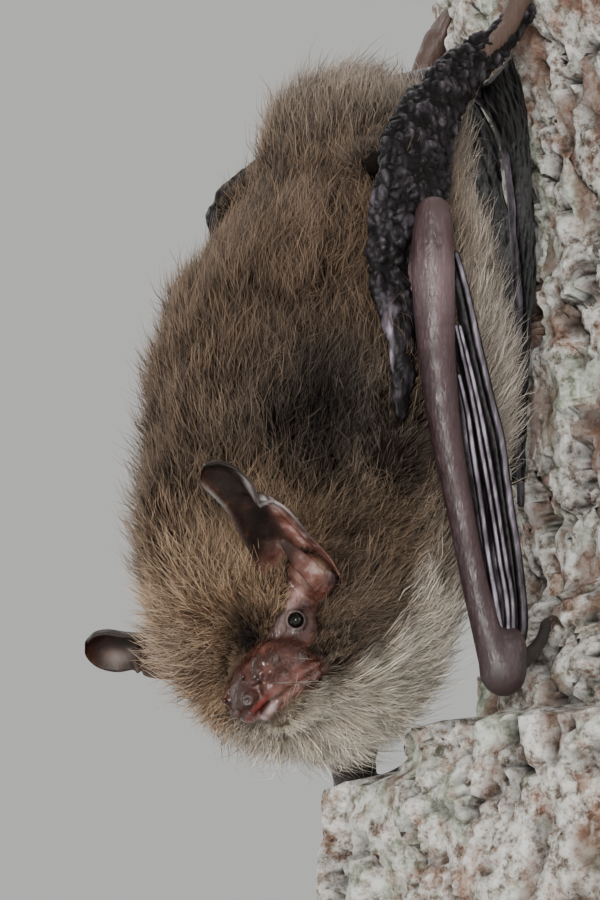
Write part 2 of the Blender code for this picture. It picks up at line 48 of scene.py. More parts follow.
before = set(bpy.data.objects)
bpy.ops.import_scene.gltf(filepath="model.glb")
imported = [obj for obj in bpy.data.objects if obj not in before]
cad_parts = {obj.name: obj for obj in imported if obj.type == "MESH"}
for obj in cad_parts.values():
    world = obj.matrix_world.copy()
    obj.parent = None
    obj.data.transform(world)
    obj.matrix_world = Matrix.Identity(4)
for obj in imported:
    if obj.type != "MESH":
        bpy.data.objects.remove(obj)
# Without a seed the noise vectors start from the clock.
noise.seed_set(5)
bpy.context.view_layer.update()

# The bat's frame in the row frame: the bark's face is 22 mm to -x of the stand's middle, 68 mm up.
ROOST = np.array((-22.0, 0.0, 68.0))
LEFT, RIGHT = -1.0, 1.0
SIDES = ((LEFT, "left"), (RIGHT, "right"))

# Head: its middle, and the directions of its nose, left side and crown.
HEAD = np.array((-19.14, -5.3, -14.54))
FACE = Vector((-0.626, -0.460, -0.629)).normalized()
SIDE = Vector((0.168, -0.868, 0.467))
SIDE = (SIDE - FACE * SIDE.dot(FACE)).normalized()
CROWN = FACE.cross(SIDE)
HEAD_AXES = np.array((FACE, SIDE, CROWN))
EYE = (3.1, 3.45, 0.75)
NOSTRIL = (10.0, 0.85, 0.0)

# Limb joints, as in the solids.
ELBOW = {LEFT: (-12.4, -15.1, 15.3), RIGHT: (-12.0, 14.7, 12.0)}
WRIST = {LEFT: (-7.6, -15.1, -17.9), RIGHT: (-6.9, 14.4, -24.0)}
THUMB_TIP = {LEFT: (-1.7, -12.0, -13.5), RIGHT: (-1.2, 11.4, -21.0)}
KNEE = {LEFT: (-16.0, -12.6, 19.3), RIGHT: (-19.6, 13.0, 21.5)}
ANKLE = (-3.6, 9.0, 31.9)
CLAWS = (0.3, 8.0, 40.0)
SHOULDER = (-13.8, 9.0, -3.0)
HIP = (-12.2, 5.5, 21.0)
# Forearm: share of the way from elbow to wrist, its bow away from the bark, its radius.
FOREARM = [
    (0.0, 0.0, 1.40), (0.08, -0.45, 1.58), (0.16, -0.8, 1.60), (0.31, -1.3, 1.40), (0.49, -1.45, 1.16),
    (0.67, -1.15, 1.0), (0.81, -0.85, 0.98), (0.92, -0.4, 1.1), (1.0, 0.1, 1.35),
]
# Folded fingers: for each bone its radius, how far it stands out past the forearm's axis, and its
# offsets towards the bark from the line elbow to wrist, by share of the way to the wrist.
FINGERS = [
    (0.36, 0.0, [(0.97, 1.5), (0.90, 2.55), (0.765, 2.87), (0.627, 2.85), (0.49, 2.85), (0.40, 2.5),
                 (0.26, 2.05), (0.17, 1.8), (0.085, 1.4)]),
    (0.23, 0.35, [(0.97, 1.2), (0.855, 1.78), (0.765, 1.7), (0.627, 1.65), (0.51, 1.5), (0.40, 1.25),
                  (0.33, 1.0), (0.25, 0.7)]),
    (0.22, 0.4, [(0.97, 0.9), (0.855, 1.3), (0.765, 1.2), (0.627, 1.12), (0.51, 0.98), (0.40, 0.8),
                 (0.33, 0.6), (0.25, 0.35)]),
    (0.26, 0.3, [(0.97, 0.55), (0.855, 0.5), (0.74, 0.38), (0.627, 0.4), (0.51, 0.35), (0.44, 0.35),
                 (0.36, 0.1)]),
]
# Gathered skin along leg and flank, from the ankle: middle with +y outwards, and half width.
BAND = {
    LEFT: [
        (-1.7, 8.6, 33.8, 0.95), (-4.3, 9.3, 31.0, 1.3), (-6.5, 9.9, 29.2, 1.6), (-8.6, 10.6, 27.1, 1.9),
        (-10.7, 11.4, 24.3, 2.3), (-12.4, 12.2, 21.4, 2.75), (-13.0, 12.9, 18.5, 2.85),
        (-14.0, 13.2, 16.1, 2.5), (-15.0, 13.5, 13.0, 2.0), (-15.1, 13.7, 10.3, 1.85),
        (-14.5, 14.0, 6.5, 1.4), (-14.4, 14.1, 3.5, 1.1), (-14.7, 14.0, 0.6, 0.5)],
    RIGHT: [
        (-1.7, 8.6, 33.8, 0.9), (-3.6, 9.0, 31.9, 1.0), (-9.5, 11.5, 28.8, 1.1), (-14.6, 12.7, 25.2, 1.15),
        (-17.5, 13.2, 22.8, 1.1), (-18.6, 13.4, 20.6, 1.1), (-17.8, 13.4, 18.4, 1.1),
        (-16.6, 13.5, 15.0, 1.3), (-16.0, 13.8, 10.0, 1.6), (-15.2, 14.0, 5.0, 1.05),
        (-15.0, 14.0, 1.0, 0.5)],
}

# Flesh of trunk, neck and throat under the coat: height, middle x, middle y, half depth, half width.
FLESH = [
    (27.6, -11.8, 0.0, 1.6, 1.4), (26.8, -11.8, 0.0, 3.2, 3.0), (24.5, -11.8, 0.0, 5.2, 5.4),
    (20.0, -12.2, 0.0, 6.0, 7.6), (15.5, -13.0, 0.0, 8.0, 9.2), (11.0, -14.0, 0.0, 10.2, 9.9),
    (5.0, -14.3, 0.0, 11.4, 10.1), (-2.0, -15.4, -0.2, 11.2, 9.2), (-8.0, -16.8, -1.2, 10.6, 6.6),
    (-12.0, -17.4, -2.4, 9.8, 5.2), (-16.0, -17.3, -3.0, 8.2, 4.8), (-19.5, -17.2, -3.2, 5.6, 3.8),
    (-21.2, -17.1, -3.2, 2.4, 1.8),
]


def mm(length):
    """A length property (m) in millimetres."""
    return round(length * 1000, 6)


def to_world(points):
    """Points of the bat's frame (mm) in the row frame (m)."""
    return (np.asarray(points, float) + ROOST) * 0.001


def from_world(points):
    """Points of the row frame (m) in the bat's frame (mm)."""
    return np.asarray(points, float) * 1000.0 - ROOST


def at_head(f, l, u):
    """A place along the nose, left side and crown (mm) in the bat's frame."""
    return HEAD + np.array((f, l, u)) @ HEAD_AXES


def in_head(points):
    """Points of the bat's frame along the nose, left side and crown."""
    return (np.asarray(points) - HEAD) @ HEAD_AXES.T


def on_side(point, side):
    """A head place given for the left, on the wanted side, in the bat's frame."""
    return at_head(point[0], point[1] * -side, point[2])


def mirrored(point, side):
    """A place given with +y outwards, on the wanted side."""
    return np.array((point[0], point[1] * side, point[2]))


def between(a, b, share, bulge=(0.0, 0.0, 0.0)):
    """The place a share of the way from a to b, moved by bulge."""
    a, b = np.array(a, float), np.array(b, float)
    return a + (b - a) * share + np.array(bulge)


def soft_step(value, low, high):
    """0 below low to 1 above high, with soft ends."""
    share = np.clip((np.asarray(value, float) - low) / (high - low), 0.0, 1.0)
    return share * share * (3 - 2 * share)


def blob(points, middle, radii):
    """1 at the middle of an ellipsoid, falling smoothly to nothing past its radii."""
    away = (np.asarray(points) - np.array(middle)) / np.array(radii)
    return np.exp(-(away ** 2).sum(-1))


def unit(vectors):
    """The vectors' directions."""
    return vectors / np.maximum(np.linalg.norm(vectors, axis=-1, keepdims=True), 1e-9)


def spline(stations, count):
    """A Catmull-Rom curve through stations, read at count even steps."""
    rows = np.array(stations, float)
    padded = np.vstack((2 * rows[0] - rows[1], rows, 2 * rows[-1] - rows[-2]))
    place = np.linspace(0, len(rows) - 1, count)
    k = np.minimum(place.astype(int), len(rows) - 2)
    t = (place - k)[:, None]
    a, b, c, d = (padded[k + i] for i in range(4))
    return 0.5 * (2 * b + (c - a) * t + (2 * a - 5 * b + 4 * c - d) * t ** 2
                  + (3 * b - a - 3 * c + d) * t ** 3)


def turbulence(points, size, octaves=3):
    """Smooth noise of about -1 to 1, with features of the given size in mm."""
    at = np.asarray(points) / size
    return np.array([noise.fractal(p, 1.0, 2.0, octaves) for p in at.tolist()])


# ---------------------------------------------------------------- mesh helpers

def co_of(mesh):
    """Places of the mesh's vertices."""
    flat = np.empty(len(mesh.vertices) * 3, np.float32)
    mesh.vertices.foreach_get("co", flat)
    return flat.reshape(-1, 3).astype(float)


def normals_of(mesh):
    """Smooth normals of the mesh's vertices."""
    flat = np.empty(len(mesh.vertices) * 3, np.float32)
    mesh.vertex_normals.foreach_get("vector", flat)
    return flat.reshape(-1, 3)


def set_co(mesh, points):
    """Move the mesh's vertices to the points."""
    mesh.vertices.foreach_set("co", np.asarray(points, np.float32).ravel())
    mesh.update()


def link(name, mesh):
    """A new object of the mesh, in the scene."""
    piece = bpy.data.objects.new(name, mesh)
    bpy.context.scene.collection.objects.link(piece)
    return piece


def mesh_of(bm, name="shape"):
    """The bmesh as a mesh. The bmesh is used up."""
    mesh = bpy.data.meshes.new(name)
    bm.to_mesh(mesh)
    bm.free()
    return mesh


def joined(parts):
    """One mesh of all the parts' faces. The parts are used up."""
    whole = bmesh.new()
    for part in parts:
        mesh = mesh_of(part)
        whole.from_mesh(mesh)
        bpy.data.meshes.remove(mesh)
    return mesh_of(whole)


def tree_of(points):
    """A tree that finds the nearest of the points."""
    tree = KDTree(len(points))
    for i, p in enumerate(points):
        tree.insert(p, i)
    tree.balance()
    return tree


def rgba(red, green=0.0, blue=0.0):
    """Channels of a colour for each vertex."""
    return np.stack(np.broadcast_arrays(red, green, blue, 1.0), 1)


def grid_from(rows):
    """A bmesh grid whose vertices lie at rows, an array of rows of points."""
    high, wide = rows.shape[:2]
    bm = bmesh.new()
    bmesh.ops.create_grid(bm, x_segments=wide - 1, y_segments=high - 1, size=1.0)
    for v, p in zip(bm.verts, rows.reshape(-1, 3).tolist()):
        v.co = p
    return bm


def thickened(rows, thickness):
    """A closed sheet through rows of points, thickened to one side."""
    bm = grid_from(rows)
    bmesh.ops.solidify(bm, geom=bm.faces[:], thickness=thickness)
    return face_out(bm)


def face_out(bm):
    """Turn the faces of a closed bmesh outwards."""
    bmesh.ops.recalc_face_normals(bm, faces=bm.faces)
    if bm.calc_volume(signed=True) < 0:
        bmesh.ops.reverse_faces(bm, faces=bm.faces)
    return bm


def frames_along(line):
    """Directions along a line, and two across it that turn as little as they can."""
    ahead = unit(np.gradient(line, axis=0))
    across = np.cross(ahead[0], (0.3, 1.0, 0.2))
    rows = []
    for way in ahead:
        across = across - way * across.dot(way)
        across = across / np.linalg.norm(across)
        rows.append(across)
    first = np.array(rows)
    return ahead, first, np.cross(ahead, first)


def tube(path, radii, sides=12, count=24, flat=1.0):
    """A round-ended limb along a path, closed at its poles."""
    line = spline(path, count)
    width = spline([(r,) for r in radii], count)[:, 0]
    ahead, first, second = frames_along(line)
    turn = np.linspace(0, math.tau, sides + 1)
    ring = np.cos(turn)[:, None] * first[:, None] + flat * np.sin(turn)[:, None] * second[:, None]
    rows = line[:, None] + ring * width[:, None, None]
    ends = np.sin(np.linspace(0, math.pi / 2, 4))[:-1]
    lift = np.sqrt(1 - ends ** 2)
    start = [line[0] - ahead[0] * width[0] * h + ring[0] * width[0] * e for e, h in zip(ends, lift)]
    stop = [line[-1] + ahead[-1] * width[-1] * h + ring[-1] * width[-1] * e for e, h in zip(ends, lift)]
    bm = grid_from(np.concatenate((np.array(start), rows, np.array(stop[::-1]))))
    bmesh.ops.remove_doubles(bm, verts=bm.verts, dist=0.0005)
    return face_out(bm)


def ball(middle, radii, detail=3, axes=HEAD_AXES):
    """An ellipsoid in head directions, or along other axes."""
    bm = bmesh.new()
    bmesh.ops.create_icosphere(bm, subdivisions=detail, radius=1.0)
    turn = Matrix(axes.tolist()).transposed() @ Matrix.Diagonal(Vector(radii))
    bmesh.ops.transform(bm, matrix=Matrix.Translation(Vector(middle)) @ turn.to_4x4(), verts=bm.verts)
    return bm


def ring_round(middle, way, radius, thick):
    """A torus round a direction, such as a lid or the rim of a nostril."""
    bm = bmesh.new()
    bmesh.ops.create_circle(bm, segments=10, radius=thick,
                            matrix=Matrix.Translation((radius, 0, 0)) @ Matrix.Rotation(math.pi / 2, 4, "X"))
    bmesh.ops.spin(bm, geom=bm.verts[:] + bm.edges[:], cent=(0, 0, 0), axis=(0, 0, 1), angle=math.tau,
                   steps=24, use_merge=True)
    turn = Vector(way).to_track_quat("Z", "Y").to_matrix().to_4x4()
    bmesh.ops.transform(bm, matrix=Matrix.Translation(Vector(middle)) @ turn, verts=bm.verts)
    return face_out(bm)


def evaluated(piece):
    """The piece's mesh with its modifiers applied. The piece itself is removed."""
    bpy.context.view_layer.update()
    mesh = bpy.data.meshes.new_from_object(piece.evaluated_get(bpy.context.evaluated_depsgraph_get()))
    bpy.data.objects.remove(piece)
    return mesh


def fuse(parts, voxel, smooth=4):
    """One closed mesh round all the parts, with its joints softened."""
    piece = link("fusing", joined(parts))
    remesh = piece.modifiers.new("Fuse", "REMESH")
    remesh.mode = "VOXEL"
    remesh.voxel_size = voxel
    soften = piece.modifiers.new("Soften", "SMOOTH")
    soften.factor = 0.5
    soften.iterations = smooth
    return evaluated(piece)


def united(meshes, hollows):
    """A single closed skin from closed meshes that reach into each other, less the hollows."""
    piece = link("uniting", meshes[0])
    tools = [link("tool", mesh) for mesh in meshes[1:] + [hollows]]
    for tool in tools:
        step = piece.modifiers.new("Unite", "BOOLEAN")
        step.operation = "DIFFERENCE" if tool == tools[-1] else "UNION"
        step.solver = "MANIFOLD"
        step.object = tool
    mesh = evaluated(piece)
    for tool in tools:
        bpy.data.objects.remove(tool)
    return mesh


def finish_piece(name, mesh, material, replaces=()):
    """Take a mesh of the bat's frame to the row frame and enter it as a piece of the model."""
    set_co(mesh, to_world(co_of(mesh)))
    return enter(name, mesh, material, replaces)


def enter(name, mesh, material, replaces):
    """Enter a mesh of the row frame as a piece of the model, in place of the solids it stands for."""
    mesh.name = name
    piece = link(name, mesh)
    mesh.shade_smooth()
    mesh.materials.clear()
    mesh.materials.append(material)
    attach(piece, "root")
    if replaces:
        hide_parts(*replaces)
    return piece


def store(mesh, name, values):
    """Keep one number, or one colour of four numbers, for each vertex."""
    values = np.asarray(values, np.float32)
    kind = "FLOAT" if values.ndim == 1 else "FLOAT_COLOR"
    attribute = mesh.attributes.new(name, kind, "POINT")
    attribute.data.foreach_set("value" if kind == "FLOAT" else "color", values.ravel())


# ---------------------------------------------------------------- materials

def colour(code):
    """An sRGB hex colour as linear RGBA."""
    parts = [int(code[i:i + 2], 16) / 255 for i in (1, 3, 5)]
    return tuple(c / 12.92 if c <= 0.04045 else ((c + 0.055) / 1.055) ** 2.4 for c in parts) + (1.0,)


def node(tree, kind, links=None, stops=None, **settings):
    """Add a node with its settings, its links or constants by socket, and a ramp's stops."""
    made = tree.nodes.new(kind)
    for key, value in settings.items():
        setattr(made, key, value)
    for key, value in (links or {}).items():
        if isinstance(value, bpy.types.NodeSocket):
            tree.links.new(value, made.inputs[key])
        elif isinstance(value, str):
            made.inputs[key].default_value = colour(value)
        else:
            made.inputs[key].default_value = value
    for place, code in stops or ():
        made.color_ramp.elements.new(place).color = colour(code)
    if stops:
        # The two stops that every new ramp has.
        made.color_ramp.elements.remove(made.color_ramp.elements[0])
        made.color_ramp.elements.remove(made.color_ramp.elements[-1])
    return made


def new_material(name):
    """A material with an empty tree, and its object coordinates."""
    material = bpy.data.materials.new(name)
    material.use_nodes = True
    material.node_tree.nodes.clear()
    place = node(material.node_tree, "ShaderNodeTexCoord").outputs["Object"]
    return material, material.node_tree, place


def finish(material, sockets):
    """Give the material its shader, with links or constants by socket."""
    shader = node(material.node_tree, "ShaderNodeBsdfPrincipled", sockets)
    node(material.node_tree, "ShaderNodeOutputMaterial", {"Surface": shader.outputs[0]})
    return material


# Mix node sockets: factor, first and second colour, and the result.
FAC, FIRST, SECOND, MIXED = 0, 6, 7, 2


# Colours of the hair on the back, on pale, on warm and on dark places.
HAIR_ROOTS = ("#0d0907", "#6b5f51", "#2a1c12", "#060403")
HAIR_MIDDLES = ("#3f2f23", "#d2c5b2", "#96765b", "#110c0a")


def by_markings(tree, tones):
    """The back's colour, turned pale, warm and dark where the coat's markings say so."""
    marks = node(tree, "ShaderNodeAttribute", attribute_name="coat_marks")
    split = node(tree, "ShaderNodeSeparateColor", {0: marks.outputs["Color"]})
    tone = tones[0]
    for channel, other in enumerate(tones[1:]):
        tone = node(tree, "ShaderNodeMix", {FAC: split.outputs[channel], FIRST: tone, SECOND: other},
                    data_type="RGBA").outputs[MIXED]
    return tone


def bat_fur(tips):
    """Soft underfur and guard hair: dark roots, paler tips, with a dull silky gloss."""
    material, tree, _ = new_material("bat_fur")
    strand = node(tree, "ShaderNodeAttribute", attribute_name="strand")
    split = node(tree, "ShaderNodeSeparateColor", {0: strand.outputs["Color"]})
    low = node(tree, "ShaderNodeMapRange", {0: split.outputs[0], 1: 0.05, 2: 0.5})
    high = node(tree, "ShaderNodeMapRange", {0: split.outputs[0], 1: 0.45, 2: 1.0})
    tone = node(tree, "ShaderNodeMix", {FAC: low.outputs[0], FIRST: by_markings(tree, HAIR_ROOTS),
                                        SECOND: by_markings(tree, HAIR_MIDDLES)}, data_type="RGBA")
    tone = node(tree, "ShaderNodeMix", {FAC: high.outputs[0], FIRST: tone.outputs[MIXED],
                                        SECOND: by_markings(tree, tips)}, data_type="RGBA")
    shade = node(tree, "ShaderNodeMapRange", {0: split.outputs[1], 3: 0.30, 4: 1.75})
    tone = node(tree, "ShaderNodeVectorMath", {0: tone.outputs[MIXED], "Scale": shade.outputs[0]},
                operation="SCALE")
    return finish(material, {"Base Color": tone.outputs[0], "Roughness": 0.5, "Specular IOR Level": 0.35})


def bat_skin():
    """Living skin: dark under the coat, moist red-brown on the muzzle, mauve and lined on the limbs, with
    painted sheen and painted shade in the creases there.
    """
    material, tree, place = new_material("bat_skin")
    bare = node(tree, "ShaderNodeAttribute", attribute_name="bare")
    split = node(tree, "ShaderNodeSeparateColor", {0: bare.outputs["Color"]})
    # Blotches about 1.2 mm across, as blood shows through thin skin.
    blotch = node(tree, "ShaderNodeTexNoise", {"Vector": place, "Scale": 800.0, "Detail": 4.0})
    muzzle = node(tree, "ShaderNodeValToRGB", {0: blotch.outputs[0]},
                  stops=[(0.34, "#2b110b"), (0.50, "#45221a"), (0.62, "#643a30"), (0.76, "#8d655b")])
    # Fine creases a third of a millimetre apart, darkened on the limbs as painted shade.
    turn = node(tree, "ShaderNodeMapping", {"Vector": place, "Scale": (1.0, 1.0, 0.5)})
    crease = node(tree, "ShaderNodeTexVoronoi", {"Vector": turn.outputs[0], "Scale": 2600.0},
                  feature="DISTANCE_TO_EDGE")
    lines = node(tree, "ShaderNodeMapRange", {0: crease.outputs[0], 1: 0.0, 2: 0.2, 3: 0.7, 4: 0.0})
    # Long streaks along the limbs: mauve, their paler ones a painted sheen on the finely wrinkled skin.
    long = node(tree, "ShaderNodeMapping", {"Vector": place, "Scale": (1.0, 1.0, 0.22)})
    lined = node(tree, "ShaderNodeTexNoise", {"Vector": long.outputs[0], "Scale": 2200.0, "Detail": 3.0})
    limb = node(tree, "ShaderNodeValToRGB", {0: lined.outputs[0]},
                stops=[(0.32, "#27171a"), (0.46, "#3c272b"), (0.60, "#523d41"), (0.76, "#706065")])
    limb = node(tree, "ShaderNodeMix", {FAC: lines.outputs[0], FIRST: limb.outputs[0], SECOND: "#2c1517"},
                data_type="RGBA")
    tint = node(tree, "ShaderNodeAttribute", attribute_name="tint")
    tone = by_markings(tree, HAIR_ROOTS)
    for channel, layer in enumerate((muzzle.outputs[0], limb.outputs[MIXED], tint.outputs["Color"])):
        tone = node(tree, "ShaderNodeMix", {FAC: split.outputs[channel], FIRST: tone, SECOND: layer},
                    data_type="RGBA").outputs[MIXED]
    wet = node(tree, "ShaderNodeMapRange", {0: blotch.outputs[0], 1: 0.35, 2: 0.65, 3: 0.16, 4: 0.40})
    dry = node(tree, "ShaderNodeMath", {0: split.outputs[2], 1: 0.22, 2: wet.outputs[0]},
               operation="MULTIPLY_ADD")
    dry = node(tree, "ShaderNodeMath", {0: split.outputs[1], 1: 0.12, 2: dry.outputs[0]},
               operation="MULTIPLY_ADD")
    open_skin = node(tree, "ShaderNodeMath", {0: split.outputs[0], 1: split.outputs[1]}, operation="MAXIMUM")
    rough = node(tree, "ShaderNodeMix", {0: open_skin.outputs[0], 2: 0.85, 3: dry.outputs[0]},
                 data_type="FLOAT")
    gloss = node(tree, "ShaderNodeMapRange", {0: open_skin.outputs[0], 3: 0.05, 4: 0.6})
    depth = node(tree, "ShaderNodeMath", {0: crease.outputs[0], 1: lined.outputs[0]}, operation="ADD")
    bump = node(tree, "ShaderNodeBump", {"Strength": 0.6, "Distance": 0.00011, "Height": depth.outputs[0]})
    return finish(material, {"Base Color": tone, "Roughness": rough.outputs[0],
                             "Specular IOR Level": gloss.outputs[0], "Normal": bump.outputs[0],
                             "Subsurface Weight": 0.08, "Subsurface Radius": (0.0006, 0.0003, 0.0002),
                             "Subsurface Scale": 1.0})


def ear_leather():
    """Thin ear skin: dark brown towards the tip, pinker and slightly greasy inside the base, with painted
    highlights in pale grey on its rims and ridges.
    """
    material, tree, place = new_material("ear_leather")
    ramp = node(tree, "ShaderNodeAttribute", attribute_name="ear_map")
    split = node(tree, "ShaderNodeSeparateColor", {0: ramp.outputs["Color"]})
    mottle = node(tree, "ShaderNodeTexNoise", {"Vector": place, "Scale": 900.0, "Detail": 4.0})
    dark = node(tree, "ShaderNodeValToRGB", {0: mottle.outputs[0]},
                stops=[(0.3, "#0e0907"), (0.55, "#1d130f"), (0.75, "#33241d")])
    pink = node(tree, "ShaderNodeValToRGB", {0: mottle.outputs[0]},
                stops=[(0.3, "#5c332b"), (0.55, "#9a6b61"), (0.75, "#dcc2bb")])
    tone = node(tree, "ShaderNodeMix", {FAC: split.outputs[0], FIRST: dark.outputs[0],
                                        SECOND: pink.outputs[0]}, data_type="RGBA")
    tone = node(tree, "ShaderNodeMix", {FAC: split.outputs[1], FIRST: tone.outputs[MIXED], SECOND: "#aaa3a2"},
                data_type="RGBA")
    fine = node(tree, "ShaderNodeTexNoise", {"Vector": place, "Scale": 4000.0, "Detail": 2.0})
    bump = node(tree, "ShaderNodeBump", {"Strength": 0.4, "Distance": 0.0001, "Height": fine.outputs[0]})
    return finish(material, {"Base Color": tone.outputs[MIXED], "Normal": bump.outputs[0], "Roughness": 0.5,
                             "Specular IOR Level": 0.25, "Subsurface Weight": 0.1,
                             "Subsurface Radius": (0.0008, 0.0003, 0.0002), "Subsurface Scale": 1.0})


def wing_leather():
    """Folded flight skin: near-black, with a painted grey-blue highlight on the crests of its fine wrinkles
    and painted shade in their hollows.
    """
    material, tree, place = new_material("wing_leather")
    crest = node(tree, "ShaderNodeAttribute", attribute_name="crest")
    turn = node(tree, "ShaderNodeMapping", {"Vector": place, "Scale": (1.0, 1.0, 0.25)})
    grain = node(tree, "ShaderNodeTexNoise", {"Vector": turn.outputs[0], "Scale": 2000.0, "Detail": 3.0})
    height = node(tree, "ShaderNodeMath", {0: crest.outputs["Fac"], 1: grain.outputs[0]}, operation="ADD")
    height = node(tree, "ShaderNodeMath", {0: height.outputs[0], 1: 0.85}, operation="MULTIPLY")
    # Colour by the crest value: painted shade low down, painted highlight high up.
    tone = node(tree, "ShaderNodeValToRGB", {0: height.outputs[0]},
                stops=[(0.32, "#0b0909"), (0.50, "#252125"), (0.72, "#544e55"), (0.95, "#9c95a0")])
    cell = node(tree, "ShaderNodeTexVoronoi", {"Vector": place, "Scale": 2400.0}, feature="SMOOTH_F1")
    bump = node(tree, "ShaderNodeBump", {"Strength": 0.5, "Distance": 0.00012, "Height": cell.outputs[0]})
    return finish(material, {"Base Color": tone.outputs[0], "Normal": bump.outputs[0], "Roughness": 0.45,
                             "Specular IOR Level": 0.14})


def eye_gloss():
    """A wet black eyeball: a smooth clear coat over black."""
    material, tree, place = new_material("eye_gloss")
    depth = node(tree, "ShaderNodeTexNoise", {"Vector": place, "Scale": 900.0})
    tone = node(tree, "ShaderNodeValToRGB", {0: depth.outputs[0]}, stops=[(0.3, "#050404"), (0.8, "#120d0b")])
    return finish(material, {"Base Color": tone.outputs[0], "Roughness": 0.06, "Specular IOR Level": 0.4})


def horn():
    """Claw horn: brown-black and smooth, with paler mottling."""
    material, tree, place = new_material("claw_horn")
    streak = node(tree, "ShaderNodeTexNoise", {"Vector": place, "Scale": 1800.0})
    tone = node(tree, "ShaderNodeValToRGB", {0: streak.outputs[0]},
                stops=[(0.3, "#17110d"), (0.8, "#4a3a2c")])
    return finish(material, {"Base Color": tone.outputs[0], "Roughness": 0.3})


def lichened_bark():
    """Old rough bark: grey-white crust, red-brown broken cork, pale green lichen, and cracks and pits
    darkened as painted shade.
    """
    material, tree, place = new_material("lichened_bark")
    relief = node(tree, "ShaderNodeAttribute", attribute_name="relief")
    split = node(tree, "ShaderNodeSeparateColor", {0: relief.outputs["Color"]})
    # Crust speckle 1 mm across and finer, cork streaks 3 mm, lichen patches 6 mm.
    speck, streak, patch = (
        node(tree, "ShaderNodeTexNoise", {"Vector": place, "Scale": scale, "Detail": detail,
                                          "Roughness": rough})
        for scale, detail, rough in ((900.0, 7.0, 0.75), (330.0, 5.0, 0.7), (170.0, 4.0, 0.6)))
    crust, cork, lichen = (
        node(tree, "ShaderNodeValToRGB", {0: speck.outputs[0]}, stops=stops).outputs[0] for stops in (
            [(0.35, "#4c4239"), (0.43, "#a0968b"), (0.50, "#dfdad2"), (0.58, "#fffefa")],
            [(0.34, "#42281d"), (0.48, "#9a7059"), (0.60, "#d3b7a3")],
            [(0.36, "#78836f"), (0.48, "#b9c5b1"), (0.60, "#e8f0e1")]))
    broken = node(tree, "ShaderNodeMapRange", {0: streak.outputs[0], 1: 0.51, 2: 0.61, 4: 0.85})
    green = node(tree, "ShaderNodeMapRange", {0: patch.outputs[0], 1: 0.52, 2: 0.62, 4: 0.75})
    tone = crust
    # The relief's red marks cracks and pits, darkened as painted shade; its green marks the cork of the low
    # flakes.
    for share, layer in ((broken.outputs[0], cork), (green.outputs[0], lichen),
                         (split.outputs[1], "#84604e"), (split.outputs[0], "#1c130e")):
        tone = node(tree, "ShaderNodeMix", {FAC: share, FIRST: tone, SECOND: layer},
                    data_type="RGBA").outputs[MIXED]
    bump = node(tree, "ShaderNodeBump", {"Strength": 1.0, "Distance": 0.0007, "Height": speck.outputs[0]})
    return finish(material, {"Base Color": tone, "Normal": bump.outputs[0], "Roughness": 0.9})


def sawn_wood():
    """Dry end grain: growth rings 1.7 mm apart round the trunk's axis."""
    material, tree, place = new_material("sawn_wood")
    turn = node(tree, "ShaderNodeMapping", {"Vector": place,
                                            "Location": (-(TRUNK_AXIS_X + ROOST[0]) * 0.001, 0.0, 0.0)})
    ring = node(tree, "ShaderNodeTexWave", {"Vector": turn.outputs[0], "Scale": 185.0, "Distortion": 5.0,
                                            "Detail": 3.0, "Detail Scale": 0.4},
                wave_type="RINGS", rings_direction="Z")
    stain = node(tree, "ShaderNodeTexNoise", {"Vector": place, "Scale": 70.0, "Detail": 4.0})
    tone = node(tree, "ShaderNodeValToRGB", {0: ring.outputs[0]}, stops=[(0.1, "#8f6f4d"), (0.9, "#c9ab80")])
    tone = node(tree, "ShaderNodeMix", {FAC: stain.outputs[0], FIRST: tone.outputs[0], SECOND: "#9c8a74"},
                data_type="RGBA")
    bump = node(tree, "ShaderNodeBump", {"Strength": 0.3, "Distance": 0.0002, "Height": ring.outputs[0]})
    return finish(material, {"Base Color": tone.outputs[MIXED], "Normal": bump.outputs[0], "Roughness": 0.8})


def varnished_walnut():
    """Turned walnut under satin varnish: dark grain lines 1 to 2 mm apart."""
    material, tree, place = new_material("varnished_walnut")
    turn = node(tree, "ShaderNodeMapping", {"Vector": place, "Scale": (1.0, 0.12, 0.3)})
    grain = node(tree, "ShaderNodeTexNoise", {"Vector": turn.outputs[0], "Scale": 420.0, "Detail": 6.0,
                                              "Distortion": 0.6})
    tone = node(tree, "ShaderNodeValToRGB", {0: grain.outputs[0]},
                stops=[(0.32, "#1e110b"), (0.50, "#452a1a"), (0.66, "#6b452c")])
    bump = node(tree, "ShaderNodeBump", {"Strength": 0.15, "Distance": 0.0002, "Height": grain.outputs[0]})
    return finish(material, {"Base Color": tone.outputs[0], "Normal": bump.outputs[0], "Roughness": 0.32,
                             "Coat Weight": 0.4, "Coat Roughness": 0.2})


def brushed_steel():
    """Drawn steel rod, brushed round: fine lines a quarter of a millimetre apart."""
    material, tree, place = new_material("brushed_steel")
    turn = node(tree, "ShaderNodeMapping", {"Vector": place, "Scale": (0.1, 0.1, 1.0)})
    lines = node(tree, "ShaderNodeTexNoise", {"Vector": turn.outputs[0], "Scale": 4000.0, "Detail": 2.0})
    tone = node(tree, "ShaderNodeValToRGB", {0: lines.outputs[0]}, stops=[(0.3, "#8e8f92"), (0.7, "#b9babd")])
    rough = node(tree, "ShaderNodeMapRange", {0: lines.outputs[0], 3: 0.25, 4: 0.42})
    return finish(material, {"Base Color": tone.outputs[0], "Roughness": rough.outputs[0], "Metallic": 1.0})


def studio_paper():
    """Matt pale paper for the floor."""
    material, tree, place = new_material("studio_paper")
    tooth = node(tree, "ShaderNodeTexNoise", {"Vector": place, "Scale": 60.0})
    tone = node(tree, "ShaderNodeValToRGB", {0: tooth.outputs[0]}, stops=[(0.0, "#d9d8d5"), (1.0, "#e1e0dd")])
    return finish(material, {"Base Color": tone.outputs[0], "Roughness": 0.9})


# ---------------------------------------------------------------- the coat's outline and markings

